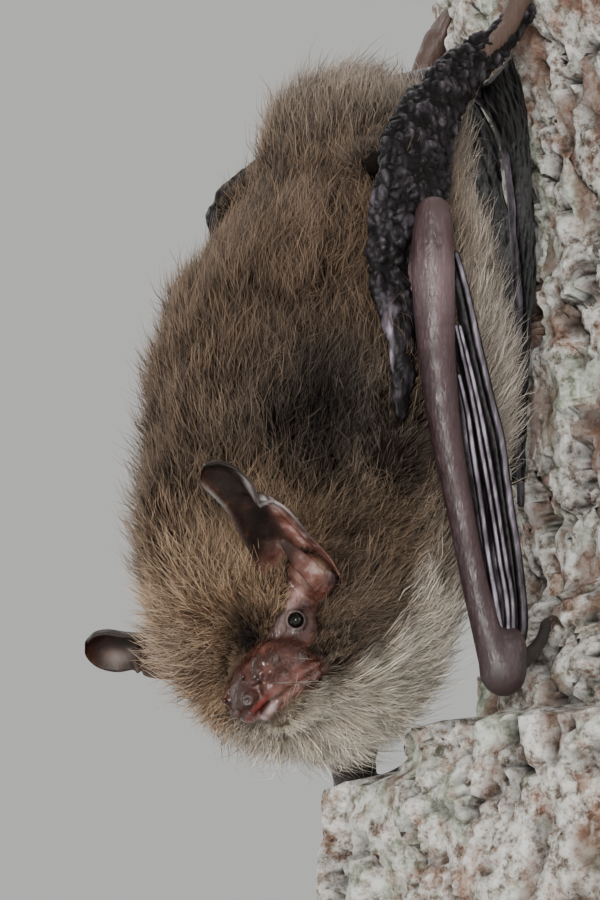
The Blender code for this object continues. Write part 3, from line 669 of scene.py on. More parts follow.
def coat_outline():
    """The furred solids, a little swollen, as one closed surface: how far the tips of the coat reach."""
    swell = 0.1
    bm = bmesh.new()
    for name in ("trunk", "neck", "head"):
        bm.from_mesh(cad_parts[name].data)
    bmesh.ops.remove_doubles(bm, verts=bm.verts, dist=0.000001)
    for v in bm.verts:
        v.co = from_world(v.co)
    bm.normal_update()
    shifts = [v.normal * swell for v in bm.verts]
    for v, shift in zip(bm.verts, shifts):
        v.co += shift
    mesh = fuse([bm], 0.55, smooth=6)
    points = co_of(mesh)
    mesh.calc_loop_triangles()
    triangles = [tuple(t.vertices) for t in mesh.loop_triangles]
    bpy.data.meshes.remove(mesh)
    return BVHTree.FromPolygons(points.tolist(), triangles)


def markings(points):
    """How pale, warm and dark the coat is at each point: the same for skin and hair. Some of the pale is
    painted light on the brow, and some of the dark is painted shade.
    """
    p = np.asarray(points, float)
    h = in_head(p)
    # The belly side lies towards the bark; the throat and chin are the palest. The belly's paleness falls off
    # towards the tail as painted shade.
    belly = soft_step(p[:, 0], -12.0, -6.0) * (0.52 - 0.2 * soft_step(p[:, 2], 4.0, 14.0))
    reach = np.linalg.norm(h, axis=1)
    under = -h[:, 2] - 0.9 * np.clip(h[:, 1], -2, 5) + 0.6 * np.clip(-3 - h[:, 0], 0, 4)
    low = np.maximum(soft_step(under, 0.2, 4.8), soft_step(-h[:, 2], 1.8, 3.6) * soft_step(h[:, 0], 3.5, 6.5))
    far = soft_step(-h[:, 2] + 0.5 * np.clip(-h[:, 1], 0, 4), 2.0, 3.8) * soft_step(-h[:, 1], -1.0, 0.5)
    low = np.maximum(low, far * soft_step(h[:, 0], -2.0, 2.0))
    throat = 1.25 * low * soft_step(-reach, -15.0, -11.0) * soft_step(h[:, 0], -8.5, -4.0)
    side = blob(p, (-8.0, -11.0, -13.0), (4.5, 5.0, 8.0)) * 0.6
    rump = blob(p, (-11.0, -3.0, 27.0), (10.0, 10.0, 5.5)) * 0.25
    cheek = blob(h, (-1.0, 5.0, -3.4), (4.5, 4.0, 3.2)) * 0.1
    # Painted light: the brow, turned from the lamps, is made paler and less warm.
    brow_painted_light = blob(h, (5.4, -3.2, 4.8), (2.3, 2.6, 2.4))
    whisker_side = blob(h, (5.0, -5.2, 1.5), (3.5, 3.5, 4.0)) * 0.35
    flank = blob(p, (-17.0, -9.0, -1.0), (6.0, 6.0, 4.0)) * 0.2
    pale = np.maximum.reduce((belly, throat, side, rump, cheek, flank, whisker_side, 0.9 * brow_painted_light))
    crown = blob(h, (3.0, -1.5, 5.0), (7.0, 7.0, 4.5)) * 1.35
    # The brow's warm sandy colour, laid on strongly as painted light on a side turned from the lamps.
    brow = blob(h, (4.8, -5.0, 2.5), (3.5, 3.5, 3.0)) * 1.3
    below = blob(p, (-15.0, -9.5, -9.5), (4.0, 5.0, 4.0)) * 0.4
    warm = np.clip(np.maximum.reduce((crown, brow, below)), 0, 1) * (1 - 0.65 * brow_painted_light)
    # Dark nape: partly dark underfur where the coat parts, partly painted shade of the hollow between head
    # and shoulder.
    nape = blob(p, (-19.2, -8.5, -1.2), (4.4, 6.0, 6.6)) * 1.05
    nape = np.maximum(nape, blob(p, (-15.5, -11.0, -2.0), (3.5, 4.0, 4.5)) * 0.7)
    shadow = blob(p, (-25.6, -7.6, -8.0), (2.2, 4.0, 6.0)) * 0.85
    # The stop between brow and muzzle: dark brown short fur, darkened further as painted shadow of the
    # forehead.
    stop = blob(h, (4.4, 0.6, 2.2), (2.4, 1.6, 1.3)) * 1.1
    moustache = blob(h, (7.4, -2.6, -0.5), (1.8, 1.6, 1.8)) * 0.6
    # Behind the foot of the ear: partly dark underfur, partly painted shade of the hollow between ear and
    # shoulder.
    behind = np.maximum(blob(h, (-3.4, 7.8, 1.2), (3.2, 4.0, 4.6)),
                        blob(h, (-3.5, 8.8, 5.0), (3.4, 4.5, 4.5))) * 0.9
    dark = np.maximum.reduce((nape, shadow, stop, moustache, behind))
    return np.clip(rgba(pale, warm, dark), 0, 1)


# ---------------------------------------------------------------- skin

# Lumps of the face along nose, left side and crown, with their radii: on the middle line, then in pairs.
FACE_LUMPS = [
    ((5.2, 0.0, 0.2), (4.7, 2.3, 1.85)), ((9.2, 0.0, 0.05), (0.95, 0.95, 0.75)),
    ((5.2, 0.0, -2.7), (3.4, 2.2, 1.15)), ((8.0, 0.0, -2.0), (0.95, 1.0, 0.6)),
    ((6.3, 0.0, -1.5), (2.4, 1.5, 0.5)),
]
FACE_PAIRS = [
    ((6.4, 1.9, 0.55), (1.9, 1.25, 1.15)), ((4.9, 2.2, -0.7), (2.2, 1.2, 1.6)),
    ((6.9, 1.6, -0.75), (2.2, 1.25, 1.15)), ((9.35, 0.8, -0.05), (0.75, 0.55, 0.6)),
    ((2.5, 2.2, -0.2), (2.4, 1.5, 2.1)), ((0.4, 2.6, 1.8), (2.8, 2.0, 3.0)),
    ((0.0, 5.0, 1.7), (1.5, 1.9, 2.2)), ((1.6, 2.6, -2.6), (3.2, 1.6, 1.9)),
]
# Edges of the lips from the left corner of the mouth to the middle.
UPPER_LIP = [(4.4, 3.15, -2.5), (5.7, 2.95, -2.05), (7.3, 2.3, -1.45), (8.7, 1.2, -0.95), (9.45, 0.0, -0.8)]
LOWER_LIP = [(4.2, 2.75, -3.0), (5.6, 2.45, -2.75), (7.0, 1.75, -2.3), (8.2, 0.9, -1.8), (8.75, 0.0, -1.65)]


def eye_look(side):
    """The way that an eye looks."""
    return np.array(FACE * 0.52 + SIDE * (-side * 0.84) + CROWN * 0.12)


def head_parts():
    """The bare face: its lumps, with lips, lids, rims of the nostrils and small pimples."""
    parts = [ball(on_side(middle, LEFT), radii) for middle, radii in FACE_LUMPS]
    parts += [ball(on_side(middle, side), radii) for middle, radii in FACE_PAIRS for side in (LEFT, RIGHT)]
    for side in (LEFT, RIGHT):
        parts.append(tube([on_side(p, side) for p in LOWER_LIP], [0.30, 0.38, 0.42, 0.38, 0.34], count=20))
        parts.append(tube([on_side(p, side) for p in UPPER_LIP], [0.30, 0.42, 0.42, 0.34, 0.28], count=20))
        look = eye_look(side)
        parts.append(ring_round(on_side(EYE, side) + look * 0.24, look, 0.66, 0.18))
        rim = on_side((NOSTRIL[0] + 0.05, NOSTRIL[1] + 0.10, NOSTRIL[2] - 0.05), side)
        parts.append(ring_round(rim, FACE * 0.80 + SIDE * (-side * 0.60), 0.34, 0.17))
    seeded = np.random.default_rng(11)
    for k in range(34):
        large = k < 12
        f, u = seeded.uniform(6.4, 9.2) if large else seeded.uniform(5.0, 9.2), seeded.uniform(0.1, 1.75)
        reach = 2.6 * np.sqrt(max(1 - ((f - 5.6) / 4.7) ** 2 - ((u - 0.3) / 1.9) ** 2, 0.02)) + 0.12
        size = seeded.uniform(0.24, 0.36) if large else seeded.uniform(0.12, 0.22)
        side = LEFT if seeded.random() < 0.5 else RIGHT
        parts.append(ball(on_side((f, reach, u), side), (size, size, size * 0.9), detail=2))
    return parts


def eye_sockets():
    """Balls that hollow the skin for the eyes."""
    return joined([ball(on_side(EYE, side) + eye_look(side) * 0.12, (0.62, 0.62, 0.62), 3)
                   for side in (LEFT, RIGHT)])


def loft_rows(stations, sides, count):
    """Rings round the z axis through stations of height, middle and half sizes."""
    rows = spline(stations, count)
    turn = np.linspace(0, math.tau, sides + 1)
    z, x, y, depth, width = rows.T[:, :, None]
    return np.stack((x + depth * np.cos(turn), y + width * np.sin(turn), z + 0 * turn), -1)


def flesh():
    """Trunk and neck under the coat, with the back of the skull."""
    rows = loft_rows(FLESH, 30, 48)
    bm = grid_from(rows)
    bmesh.ops.remove_doubles(bm, verts=bm.verts, dist=0.001)
    bmesh.ops.holes_fill(bm, edges=bm.edges, sides=0)
    parts = [face_out(bm)]
    parts.append(ball(at_head(-2.3, 0.0, 0.2), (6.2, 5.2, 5.0), 4))
    parts.append(ball(at_head(1.2, 0.0, 0.4), (4.2, 4.3, 3.6), 4))
    parts.append(ball(at_head(0.2, 0.0, -3.4), (4.6, 3.8, 2.6), 4))
    for side in (LEFT, RIGHT):
        hip, knee = mirrored(HIP, side), KNEE[side]
        parts.append(tube([hip, between(hip, knee, 0.5), between(hip, knee, 0.86)], [2.2, 1.5, 0.9]))
        shoulder, elbow = mirrored(SHOULDER, side), ELBOW[side]
        parts.append(tube([shoulder, between(shoulder, elbow, 0.55), elbow], [2.2, 1.6, 1.25]))
    return parts


def forearm_path(side):
    """The forearm's middle line, from elbow to wrist."""
    return [between(ELBOW[side], WRIST[side], share, (bow, 0.0, 0.0)) for share, bow, _ in FOREARM]


def toe_line(side, toe):
    """Root and claw's place of one of the five toes."""
    ankle, claws, spread = mirrored(ANKLE, side), mirrored(CLAWS, side), (toe - 2) * 0.62
    return (between(ankle, claws, 0.5, (0.0, spread * 0.85, 0.0)),
            claws + np.array((0.0, spread * 1.35, -0.35 * abs(toe - 2))))


def limb_parts():
    """Forearms, wrists, thumbs, ankles and feet."""
    parts = []
    for side in (LEFT, RIGHT):
        wrist, upright = np.array(WRIST[side]), np.eye(3)
        parts.append(tube(forearm_path(side), [radius for _, _, radius in FOREARM], 18, 80))
        parts.append(ball(wrist + (0.45, 0.0, 0.0), (1.8, 1.45, 2.0), axes=upright))
        parts.append(ball(wrist + (0.9, 0.1 * side, 1.3), (1.35, 1.2, 1.9), axes=upright))
        tip = np.array(THUMB_TIP[side])
        parts.append(tube([wrist + (1.0, 0.0, 0.0), between(wrist, tip, 0.35, (0.5, 0.0, -0.7)),
                           between(wrist, tip, 0.65, (0.5, 0.1 * side, -0.5)), between(wrist, tip, 0.9)],
                          [0.9, 0.65, 0.5, 0.42]))
        ankle, claws = mirrored(ANKLE, side), mirrored(CLAWS, side)
        parts.append(tube([between(ankle, KNEE[side], 0.2), ankle, between(ankle, claws, 0.3),
                           between(ankle, claws, 0.52)], [0.8, 0.85, 0.95, 1.15], count=30))
        for root, end in (toe_line(side, toe) for toe in range(5)):
            parts.append(tube([root, between(root, end, 0.5, (-0.55, 0.0, 0.0)), between(root, end, 0.8)],
                              [0.42, 0.36, 0.28], sides=8, count=10))
    return parts


FLESH_NODES = ["trunk", "neck", "head", "muzzle", "jaw"] + [
    part + "_" + tag for tag in ("left", "right")
    for part in ("upper_arm", "forearm", "wrist", "thumb", "thigh", "foot")]


def nearest_on_line(points, a, b):
    """Share along a to b of each point, held within the line, and its distance from the line."""
    a, b = np.array(a, float), np.array(b, float)
    way = b - a
    share = np.clip((points - a) @ way / way.dot(way), 0, 1)
    return share, np.linalg.norm(points - a - share[:, None] * way, axis=1)


def near_path(points, path):
    """Share along a path of each point's nearest place on it, and the way from there to the point."""
    line = spline(path, 60)
    away = points[:, None] - line[None]
    nearest = (away ** 2).sum(2).argmin(1)
    return nearest / 59.0, away[np.arange(len(points)), nearest]


def face_bareness(points):
    """1 where the face is naked: muzzle, lips, and the skin from the eye to the foot of the ear."""
    h = in_head(points)
    wide = np.abs(h[:, 1])
    mirror = np.stack((h[:, 0], wide, h[:, 2]), 1)
    start = 5.0 + 2.0 * soft_step(-h[:, 1], 0.4, 1.6)
    muzzle = soft_step(h[:, 0] + 0.3 * wide, start, start + 0.8) \
        * soft_step(h[:, 2] + 0.36 * (9 - h[:, 0]), -2.3, -1.9)
    share, away = nearest_on_line(mirror, (0.9, 5.7, 1.9), (3.2, 3.7, 0.7))
    temple = soft_step(-away, -(2.1 - 0.9 * share), -(1.5 - 0.75 * share))
    _, away = nearest_on_line(mirror, (3.4, 3.3, 0.3), (5.8, 2.3, 0.4))
    bridge = soft_step(-away, -1.7, -1.1) * soft_step(h[:, 1], -1.0, 1.0)
    return np.clip(np.maximum.reduce((muzzle, temple, bridge)), 0, 1)


# Darker and paler places of the bare face, on both sides: middle, radii, strength, colour.
FACE_STAINS = [
    # Round the eye and back to the foot of the ear.
    ((3.1, 3.45, 0.7), (1.15, 1.15, 1.15), 1.4, "#241310"),
    ((2.9, 3.3, 1.6), (0.6, 0.6, 0.35), 0.9, "#8f7c7a"),
    ((1.7, 4.4, 1.9), (0.7, 0.8, 0.5), 0.9, "#9b7b74"),
    ((1.5, 5.6, 2.6), (0.8, 0.9, 0.6), 0.6, "#9a786c"),
    ((1.0, 6.5, 2.0), (0.9, 0.7, 0.6), 0.6, "#b89f8a"),
    ((3.9, 3.2, 1.4), (0.6, 0.6, 0.4), 0.5, "#8f7f7c"),
    # Nostril, side of the muzzle and corner of the lip.
    # The nostril's opening is painted shade inside its rim: no hole is cut.
    ((10.25, 1.15, -0.05), (0.34, 0.26, 0.26), 1.5, "#2a100d"),
    ((4.5, 2.7, 0.6), (1.3, 1.1, 1.0), 0.8, "#45251d"),
    ((7.0, 2.6, -1.8), (1.3, 1.0, 0.7), 0.5, "#875a50"),
    ((5.3, 2.7, 0.5), (1.6, 1.2, 1.0), 0.75, "#2f150e"),
    ((5.6, 3.1, -1.2), (1.0, 0.9, 0.8), 0.5, "#3a2018"),
    # Nose tip, bridge and lips.
    ((9.9, 0.6, 0.4), (1.2, 1.6, 1.3), 0.85, "#27160f"),
    ((8.5, 1.5, -1.3), (0.9, 0.8, 0.45), 0.5, "#9a7c78"),
    ((9.4, 0.4, 0.7), (1.3, 1.6, 0.8), 0.8, "#2f160f"),
    ((7.0, 0.3, 1.6), (2.2, 1.0, 0.7), 0.7, "#3a1b13"),
    ((5.9, 2.3, -0.1), (1.7, 1.0, 0.32), 0.8, "#2f1410"),
    ((8.5, 0.4, -1.8), (0.55, 0.6, 0.25), 1.3, "#b39d98"),
    ((9.0, 0.3, -1.0), (1.2, 1.4, 0.22), 1.5, "#64190f"),
]


def bare_map(points):
    """Red: bare face; green: limbs; blue: how much of the tint shows. Second array: the tint."""
    h = in_head(points)
    limb = np.zeros(len(points))
    tint = np.zeros((len(points), 4))
    amount = np.zeros(len(points))

    def stain(weight, code):
        """Lay a colour over the tint."""
        nonlocal amount, tint
        weight = np.clip(weight, 0, 1)
        under = amount * (1 - weight)
        amount = weight + under
        tint = tint * under[:, None] + np.array(colour(code)) * weight[:, None]
        tint = tint / np.maximum(amount, 1e-6)[:, None]

    for side in (LEFT, RIGHT):
        share, away = near_path(points, forearm_path(side))
        reach = np.linalg.norm(away, axis=1)
        limb = np.maximum(limb, soft_step(-reach, -2.5, -1.9))
        near = soft_step(-reach, -2.4, -1.9)
        stain(near * soft_step(away[:, 0] + 0.3 * share, -0.05, 0.5)
              * soft_step(-share, -0.95, -0.75) * 0.85, "#3a171c")
        stain(near * np.exp(-((away[:, 0] + 0.25) / 0.12) ** 2) * soft_step(share, 0.1, 0.3)
              * soft_step(-share, -0.8, -0.6) * 0.7, "#5d2f35")
        # Painted shade on the forearm's edge turned to the bark, beside the folded fingers.
        stain(near * soft_step(away[:, 0], 0.8, 1.1) * 0.8, "#1f0e10")
        stain(near * soft_step(-share, -0.14, -0.02) * 0.7, "#3b2926")
        stain(near * soft_step(share, 0.24, 0.40) * soft_step(-share, -1.0, -0.84) * 0.55, "#27161a")
        stain(near * soft_step(share, 0.08, 0.22) * soft_step(-share, -0.40, -0.22) * 0.25, "#8d7b7e")
        _, reach = nearest_on_line(points, WRIST[side], np.array(WRIST[side]) + (0.5, 0.0, -0.5))
        limb = np.maximum(limb, soft_step(-reach, -3.1, -2.6))
        below = WRIST[side][2] - points[:, 2]
        stain(soft_step(-reach, -3.1, -2.6) * soft_step(below, -3.0, 0.0) * 0.7, "#33272a")
        stain(soft_step(-reach, -3.1, -2.6) * soft_step(below, 0.4, 1.5) * 0.8, "#2a1a19")
        share, reach = nearest_on_line(points, WRIST[side], THUMB_TIP[side])
        limb = np.maximum(limb, soft_step(-reach, -1.8, -1.3))
        stain(soft_step(-reach, -1.9, -1.4) * soft_step(share, 0.12, 0.3), "#1a1310")
        for a, b, thick in ((between(KNEE[side], mirrored(ANKLE, side), 0.4), mirrored(ANKLE, side), 1.4),
                            (mirrored(ANKLE, side), mirrored(CLAWS, side), 2.6)):
            _, reach = nearest_on_line(points, a, b)
            limb = np.maximum(limb, soft_step(-reach, -thick - 0.5, -thick))
            stain(soft_step(-reach, -thick - 0.5, -thick) * 0.85, "#4b382e")
    in_reach = np.linalg.norm(h, axis=1) < 12.0
    limb, amount = np.where(in_reach, 0.0, limb), np.where(in_reach, 0.0, amount)
    mirror = np.stack((h[:, 0], np.abs(h[:, 1]), h[:, 2]), 1)
    for middle, radii, strength, code in FACE_STAINS:
        stain(blob(mirror, middle, radii) * strength, code)
    return rgba(face_bareness(points), limb, amount), tint


class BatBody(bpy.types.PropertyGroup):
    """Detail of the skin, and size of the eyes"""
    face_detail: bpy.props.FloatProperty(
        name="Face detail", description="Smallest lump that the face keeps", default=0.00013, min=0.00008,
        max=0.0005, precision=5, unit="LENGTH")
    limb_detail: bpy.props.FloatProperty(
        name="Limb detail", description="Smallest lump that arms and legs keep", default=0.00022, min=0.0001,
        max=0.001, precision=5, unit="LENGTH")
    body_detail: bpy.props.FloatProperty(
        name="Body detail", description="Mesh size under the coat", default=0.00045, min=0.0002, max=0.002,
        precision=5, unit="LENGTH")
    eye_radius: bpy.props.FloatProperty(
        name="Eye radius", description="Radius of each eyeball", default=0.00062, min=0.0003, max=0.001,
        precision=5, unit="LENGTH")


class BAT_OT_skin(bpy.types.Operator):
    """One skin over trunk, head and limbs"""
    bl_idname = "bat.skin"
    bl_label = "Skin"

    def execute(self, context):
        size = context.scene.bat_body
        mesh = united([fuse(flesh(), mm(size.body_detail), 8), fuse(head_parts(), mm(size.face_detail), 5),
                       fuse(limb_parts(), mm(size.limb_detail), 4)], eye_sockets())
        points = co_of(mesh)
        bare, tint = bare_map(points)
        store(mesh, "coat_marks", markings(points))
        store(mesh, "bare", bare)
        store(mesh, "tint", tint)
        finish_piece("skin", mesh, bat_skin(), FLESH_NODES)
        return {"FINISHED"}


class BAT_OT_eyes(bpy.types.Operator):
    """Two small black eyeballs with a clear bulge in front"""
    bl_idname = "bat.eyes"
    bl_label = "Eyes"

    def execute(self, context):
        radius = mm(context.scene.bat_body.eye_radius)
        gloss = eye_gloss()
        for side, tag in SIDES:
            bm = ball(on_side(EYE, side), (radius, radius, radius), 4)
            bulge = FACE * 0.45 + SIDE * (-side * 0.85) + CROWN * 0.12
            for v in bm.verts:
                out = (v.co - Vector(on_side(EYE, side))).normalized().dot(bulge.normalized())
                v.co += bulge * 0.10 * max(out, 0.0) ** 3
            finish_piece("eyeball_" + tag, mesh_of(bm), gloss, ["eye_" + tag])
        return {"FINISHED"}


# ---------------------------------------------------------------- ears

# Front and rear edges of the left ear from foot to tip, in the head's directions.
EAR_FRONT = [
    (0.6, 2.3, 3.1), (1.3, 3.6, 4.6), (1.9, 5.4, 7.0), (2.4, 7.1, 9.3), (2.7, 7.8, 10.7), (2.95, 8.15, 11.9),
    (3.15, 8.6, 12.6), (3.2, 9.3, 12.9),
]
EAR_REAR = [
    (-0.8, 5.2, -1.2), (0.1, 7.6, 1.4), (0.9, 8.85, 3.8), (1.6, 10.05, 5.8), (2.1, 10.45, 7.3),
    (2.45, 9.8, 8.15), (2.8, 10.95, 9.4), (3.1, 11.35, 10.9), (3.2, 10.9, 12.2), (3.2, 9.9, 12.9),
]
# The way that the ear's back looks, and how far the tip of each ear is swung forward and down.
EAR_BACK = unit(np.array((-0.80, -0.06, 0.24)))
EAR_SWING = {LEFT: (0.0, 0.0, 0.0), RIGHT: (1.8, 0.0, -1.2)}
EAR_THICK = 0.22
# Painted highlights of the ear, by share of its height and of its breadth: middle, radii, strength. They are
# the front rim, the rear rim, a gleam on the rear lobe and three flecks on its ridges.
EAR_GLEAMS = [
    ((0.62, 0.0), (0.22, 0.02), 0.28), ((0.42, 1.0), (0.12, 0.03), 0.7),
    ((0.665, 0.84), (0.075, 0.10), 1.1), ((0.49, 0.88), (0.025, 0.06), 1.2),
    ((0.42, 0.80), (0.018, 0.09), 0.7), ((0.37, 0.78), (0.016, 0.09), 0.6),
]
# Middle line of the left tragus, foot to tip.
TRAGUS = [(0.8, 5.7, 0.9), (1.4, 6.6, 2.1), (1.8, 7.2, 3.6), (2.0, 7.7, 5.0)]


def ear_sheet(side):
    """A cupped leaf with a rolled front rim, a notched and folded rear lobe and cross ridges."""
    high, wide = 90, 46
    front, rear = spline(EAR_FRONT, high)[:, None], spline(EAR_REAR, high)[:, None]
    s = np.linspace(0, 1, high)[:, None]
    t = np.linspace(0, 1, wide)[None, :]
    width = np.linalg.norm(rear - front, axis=-1)
    cup = 0.34 * width * 4 * t * (1 - t)
    ridges = 0.14 * np.sin(s * 62.0 + t * 3.0) * np.exp(-((t - 0.74) / 0.16) ** 2) * \
        np.exp(-((s - 0.50) / 0.13) ** 2)
    crease = 0.42 * np.exp(-((s - 0.555 - 0.18 * (1 - t)) / 0.022) ** 2) * soft_step(t, 0.55, 0.95)
    lobe = 0.75 * np.exp(-((t - 0.88) / 0.07) ** 2) * np.exp(-((s - 0.36) / 0.16) ** 2)
    roll = 0.28 * np.exp(-(t / 0.06) ** 2)
    depth = cup + ridges - lobe - roll - crease
    rows = front + (rear - front) * t[..., None] + EAR_BACK * depth[..., None]
    rows = rows * (1, -side, 1) + np.array(EAR_SWING[side]) * s[..., None]
    return HEAD + rows @ HEAD_AXES, s + 0 * t, t + 0 * s


class BAT_OT_ears(bpy.types.Operator):
    """Two thin cupped ears, each with its tragus"""
    bl_idname = "bat.ears"
    bl_label = "Ears"

    def execute(self, context):
        leather = ear_leather()
        for side, tag in SIDES:
            rows, s, t = ear_sheet(side)
            mesh = mesh_of(thickened(rows, EAR_THICK))
            spot = spread_values(mesh, rows.reshape(-1, 3), np.stack((s.ravel(), t.ravel()), 1))
            pink = np.clip(blob(spot, (0.28, 0.72), (0.11, 0.16)) * 1.7
                           + soft_step(-spot[:, 0], -0.26, -0.12) * 0.6, 0, 1)
            # Painted highlights on the rims, the rear lobe and the ridges; weaker on the far ear.
            rim = sum(blob(spot, middle, radii) * strength for middle, radii, strength in EAR_GLEAMS)
            shown, gleaming = (1.0, 0.85) if side == LEFT else (0.12, 0.2)
            store(mesh, "ear_map", rgba(pink * shown, np.clip(rim, 0, 1) * gleaming))
            finish_piece("ear_leaf_" + tag, mesh, leather, ["ear_" + tag])
            lobe = tube([on_side(p, side) for p in TRAGUS], [0.75, 0.72, 0.6, 0.3], 12, 30, flat=0.4)
            mesh = mesh_of(lobe)
            height = in_head(co_of(mesh))[:, 2]
            store(mesh, "ear_map", rgba(0.55 * soft_step(-height, -6.0, -1.0)))
            finish_piece("ear_tragus_" + tag, mesh, leather, ["tragus_" + tag])
        return {"FINISHED"}


# ---------------------------------------------------------------- wings and tail

# Thickness of the skin between the fingers and beside the tail.
WEB_THICK = 0.3
TAIL_SKIN_THICK = 0.4


def gathered_band(side):
    """Skin drawn up along leg and flank: a flat limb, knotted all over with small pebbled folds."""
    rows = np.array(BAND[side])
    flat = 0.42 if side == LEFT else 0.7
    mesh = fuse([tube(rows[:, :3] * (1, side, 1), rows[:, 3], 26, 150, flat)], 0.14, 2)
    points = co_of(mesh)
    # Pebbles 0.7 mm across and 0.9 mm long.
    pebble = []
    for p in (points / (0.72, 0.72, 0.9)).tolist():
        near, _ = noise.voronoi(Vector(p) + noise.noise_vector(Vector(p) * 0.7) * 0.55)
        pebble.append(near[1] - near[0])
    pebble = soft_step(np.array(pebble), 0.0, 0.42)
    lump = turbulence(points, 1.7, 3)
    pebble = pebble * (0.25 + 0.75 * soft_step(points[:, 2], 6.0, 12.0)) * (1.0 if side == LEFT else 0.3)
    set_co(mesh, points + normals_of(mesh) * (0.2 * pebble + 0.24 * lump - 0.08)[:, None])
    # Crest of the band: paler on pebbles and lumps as painted highlight; the lower part of the left band is
    # lightened as a painted grey-blue gleam, with a pale streak along it.
    streak = blob(points * (1, -side, 1), (-15.6, -14.0, 5.5), (0.35, 3.0, 2.6)) * 0.5 * (side < 0)
    lower = 0.1 * soft_step(-points[:, 2], -13.0, -9.0)
    store(mesh, "crest", 0.2 * pebble + 0.24 * lump - 0.14 + streak + (0.06 if side > 0 else lower))
    return mesh


def tail_sheet(outer, inner, side):
    """Skin gathered between two edges, its crinkles running with the long way."""
    a, b = spline(outer, 160), spline(inner, 160)
    t = np.linspace(0, 1, 48)[None, :, None]
    rows = a[:, None] + (b - a)[:, None] * t
    ahead = unit(np.gradient(rows, axis=0))
    over = unit(np.gradient(rows, axis=1))
    face = unit(np.cross(over, ahead))
    face = face * (np.sign(face[..., 1].mean() * side) or 1.0)
    length = np.cumsum(np.linalg.norm(np.gradient(a, axis=0), axis=1))[:, None] + 0 * t[..., 0]
    breadth = np.linalg.norm(b - a, axis=1)[:, None] * t[..., 0]
    # Crinkles 1.3 mm apart across the sheet, and 1.9 times as long.
    flat = np.stack((length / (1.3 * 1.9), breadth / 1.3, 0 * length + side * 7), -1).reshape(-1, 3)
    crest = np.array([noise.ridged_multi_fractal(p, 0.9, 2.1, 3, 0.9, 2.0) for p in flat.tolist()])
    crest = np.clip(crest / 2.2, 0, 1).reshape(length.shape)
    lump = np.array([noise.noise(p) for p in (flat * 0.35).tolist()]).reshape(length.shape)
    border = np.minimum(t[..., 0], 1 - t[..., 0])
    swell = 0.1 * np.sqrt(np.clip(border * 4, 0, 1)) + 0.16 * (crest - 0.4) * 2 + 0.35 * lump
    jag = 0.35 * lump * soft_step(-border, -0.12, 0.0)
    rows = rows + face * swell[..., None] + over * (jag * np.sign(t[..., 0] - 0.5))[..., None]
    return mesh_of(thickened(rows, TAIL_SKIN_THICK)), rows.reshape(-1, 3), crest.ravel()


def spread_values(mesh, points, values):
    """Give each vertex of the mesh the value of the nearest of the points."""
    tree = tree_of(points)
    return np.asarray(values)[[tree.find(p)[1] for p in co_of(mesh)]]


def folded_fingers(side):
    """Long finger bones folded along the forearm, with the pleated skin dipping between them."""
    lines, parts = [], []
    for radius, out, places in FINGERS:
        path = [between(ELBOW[side], WRIST[side], share, (x, out * side, 0.0)) for share, x in places]
        lines.append(spline(path, 100))
        parts.append(tube(path, [radius * 1.2, radius, radius, radius * 0.75], 10, 100))
    arm = spline(forearm_path(side), 200)
    lines.append(arm[[np.abs(arm[:, 2] - z).argmin() for z in lines[-1][:, 2]]])
    t = np.linspace(0, 1, 11)[None, :, None]
    for one, other in zip(lines, lines[1:]):
        gap = np.linalg.norm(other - one, axis=1)[:, None, None]
        rows = one[:, None] + (other - one)[:, None] * t
        rows = rows + np.array((0.0, -side * 0.4, 0.0)) * (4 * t * (1 - t)) * np.clip(gap, 0.2, 1.2)
        parts.append(thickened(rows, WEB_THICK))
    return joined(parts), np.concatenate(lines[:-1])


class BAT_OT_wings(bpy.types.Operator):
    """Folded fingers and the gathered skin of each wing"""
    bl_idname = "bat.wings"
    bl_label = "Wings"

    def execute(self, context):
        leather = wing_leather()
        for side, tag in SIDES:
            mesh, bones = folded_fingers(side)
            points = co_of(mesh)
            tree = tree_of(bones)
            away = np.array([tree.find(p)[2] for p in points])
            streak = turbulence(points * (1.0, 1.0, 0.12), 0.35, 2)
            # Crest of the fingers: painted highlight along the bones where they face outwards, away from the
            # bark, and painted shade on the pleats between them.
            facing = normals_of(mesh) @ (-0.35, side, 0.0)
            bone = soft_step(-away, -0.55, -0.3) * soft_step(facing, 0.75, 1.02)
            store(mesh, "crest", 0.55 * bone + 0.10 * streak - 0.12)
            finish_piece("wing_fingers_" + tag, mesh, leather, ["fingers_" + tag])
            finish_piece("wing_band_" + tag, gathered_band(side), leather,
                         ["wing_skin_" + tag, "shin_" + tag])
        return {"FINISHED"}


class BAT_OT_tail(bpy.types.Operator):
    """Tail curled under the belly, with its skin on both sides"""
    bl_idname = "bat.tail"
    bl_label = "Tail"

    def execute(self, context):
        leather = wing_leather()
        path = [(-8.6, 0, 29.4), (-4.0, 0, 30.4), (0.4, 0, 26.6), (1.5, 0, 14.0), (1.5, 0, -3.0)]
        mesh = mesh_of(tube(path, [0.9, 0.8, 0.65, 0.5, 0.3], 12, 90))
        points = co_of(mesh)
        store(mesh, "crest", 0.2 + 0.1 * turbulence(points, 1.2))
        finish_piece("tail_rod", mesh, leather, ["tail"])
        for side, tag in SIDES:
            outer = [mirrored(p, side) for p in ((-2.6, 8.3, 30.6), (-0.2, 6.2, 25.0), (1.0, 3.6, 13.0),
                                                 (1.4, 1.3, -1.0))]
            inner = [mirrored(p, side) for p in ((-1.9, 0.6, 29.8), (0.6, 0.55, 23.5), (1.5, 0.5, 12.0),
                                                 (1.6, 0.4, -1.0))]
            mesh, spots, crest = tail_sheet(outer, inner, side)
            # The webs are darkened almost to black as painted shade of the gap between belly and bark, with a
            # faint painted gleam on the crinkles.
            store(mesh, "crest", 0.12 * spread_values(mesh, spots, crest) - 0.22)
            finish_piece("tail_web_" + tag, mesh, leather, ["tail_skin_" + tag])
        return {"FINISHED"}


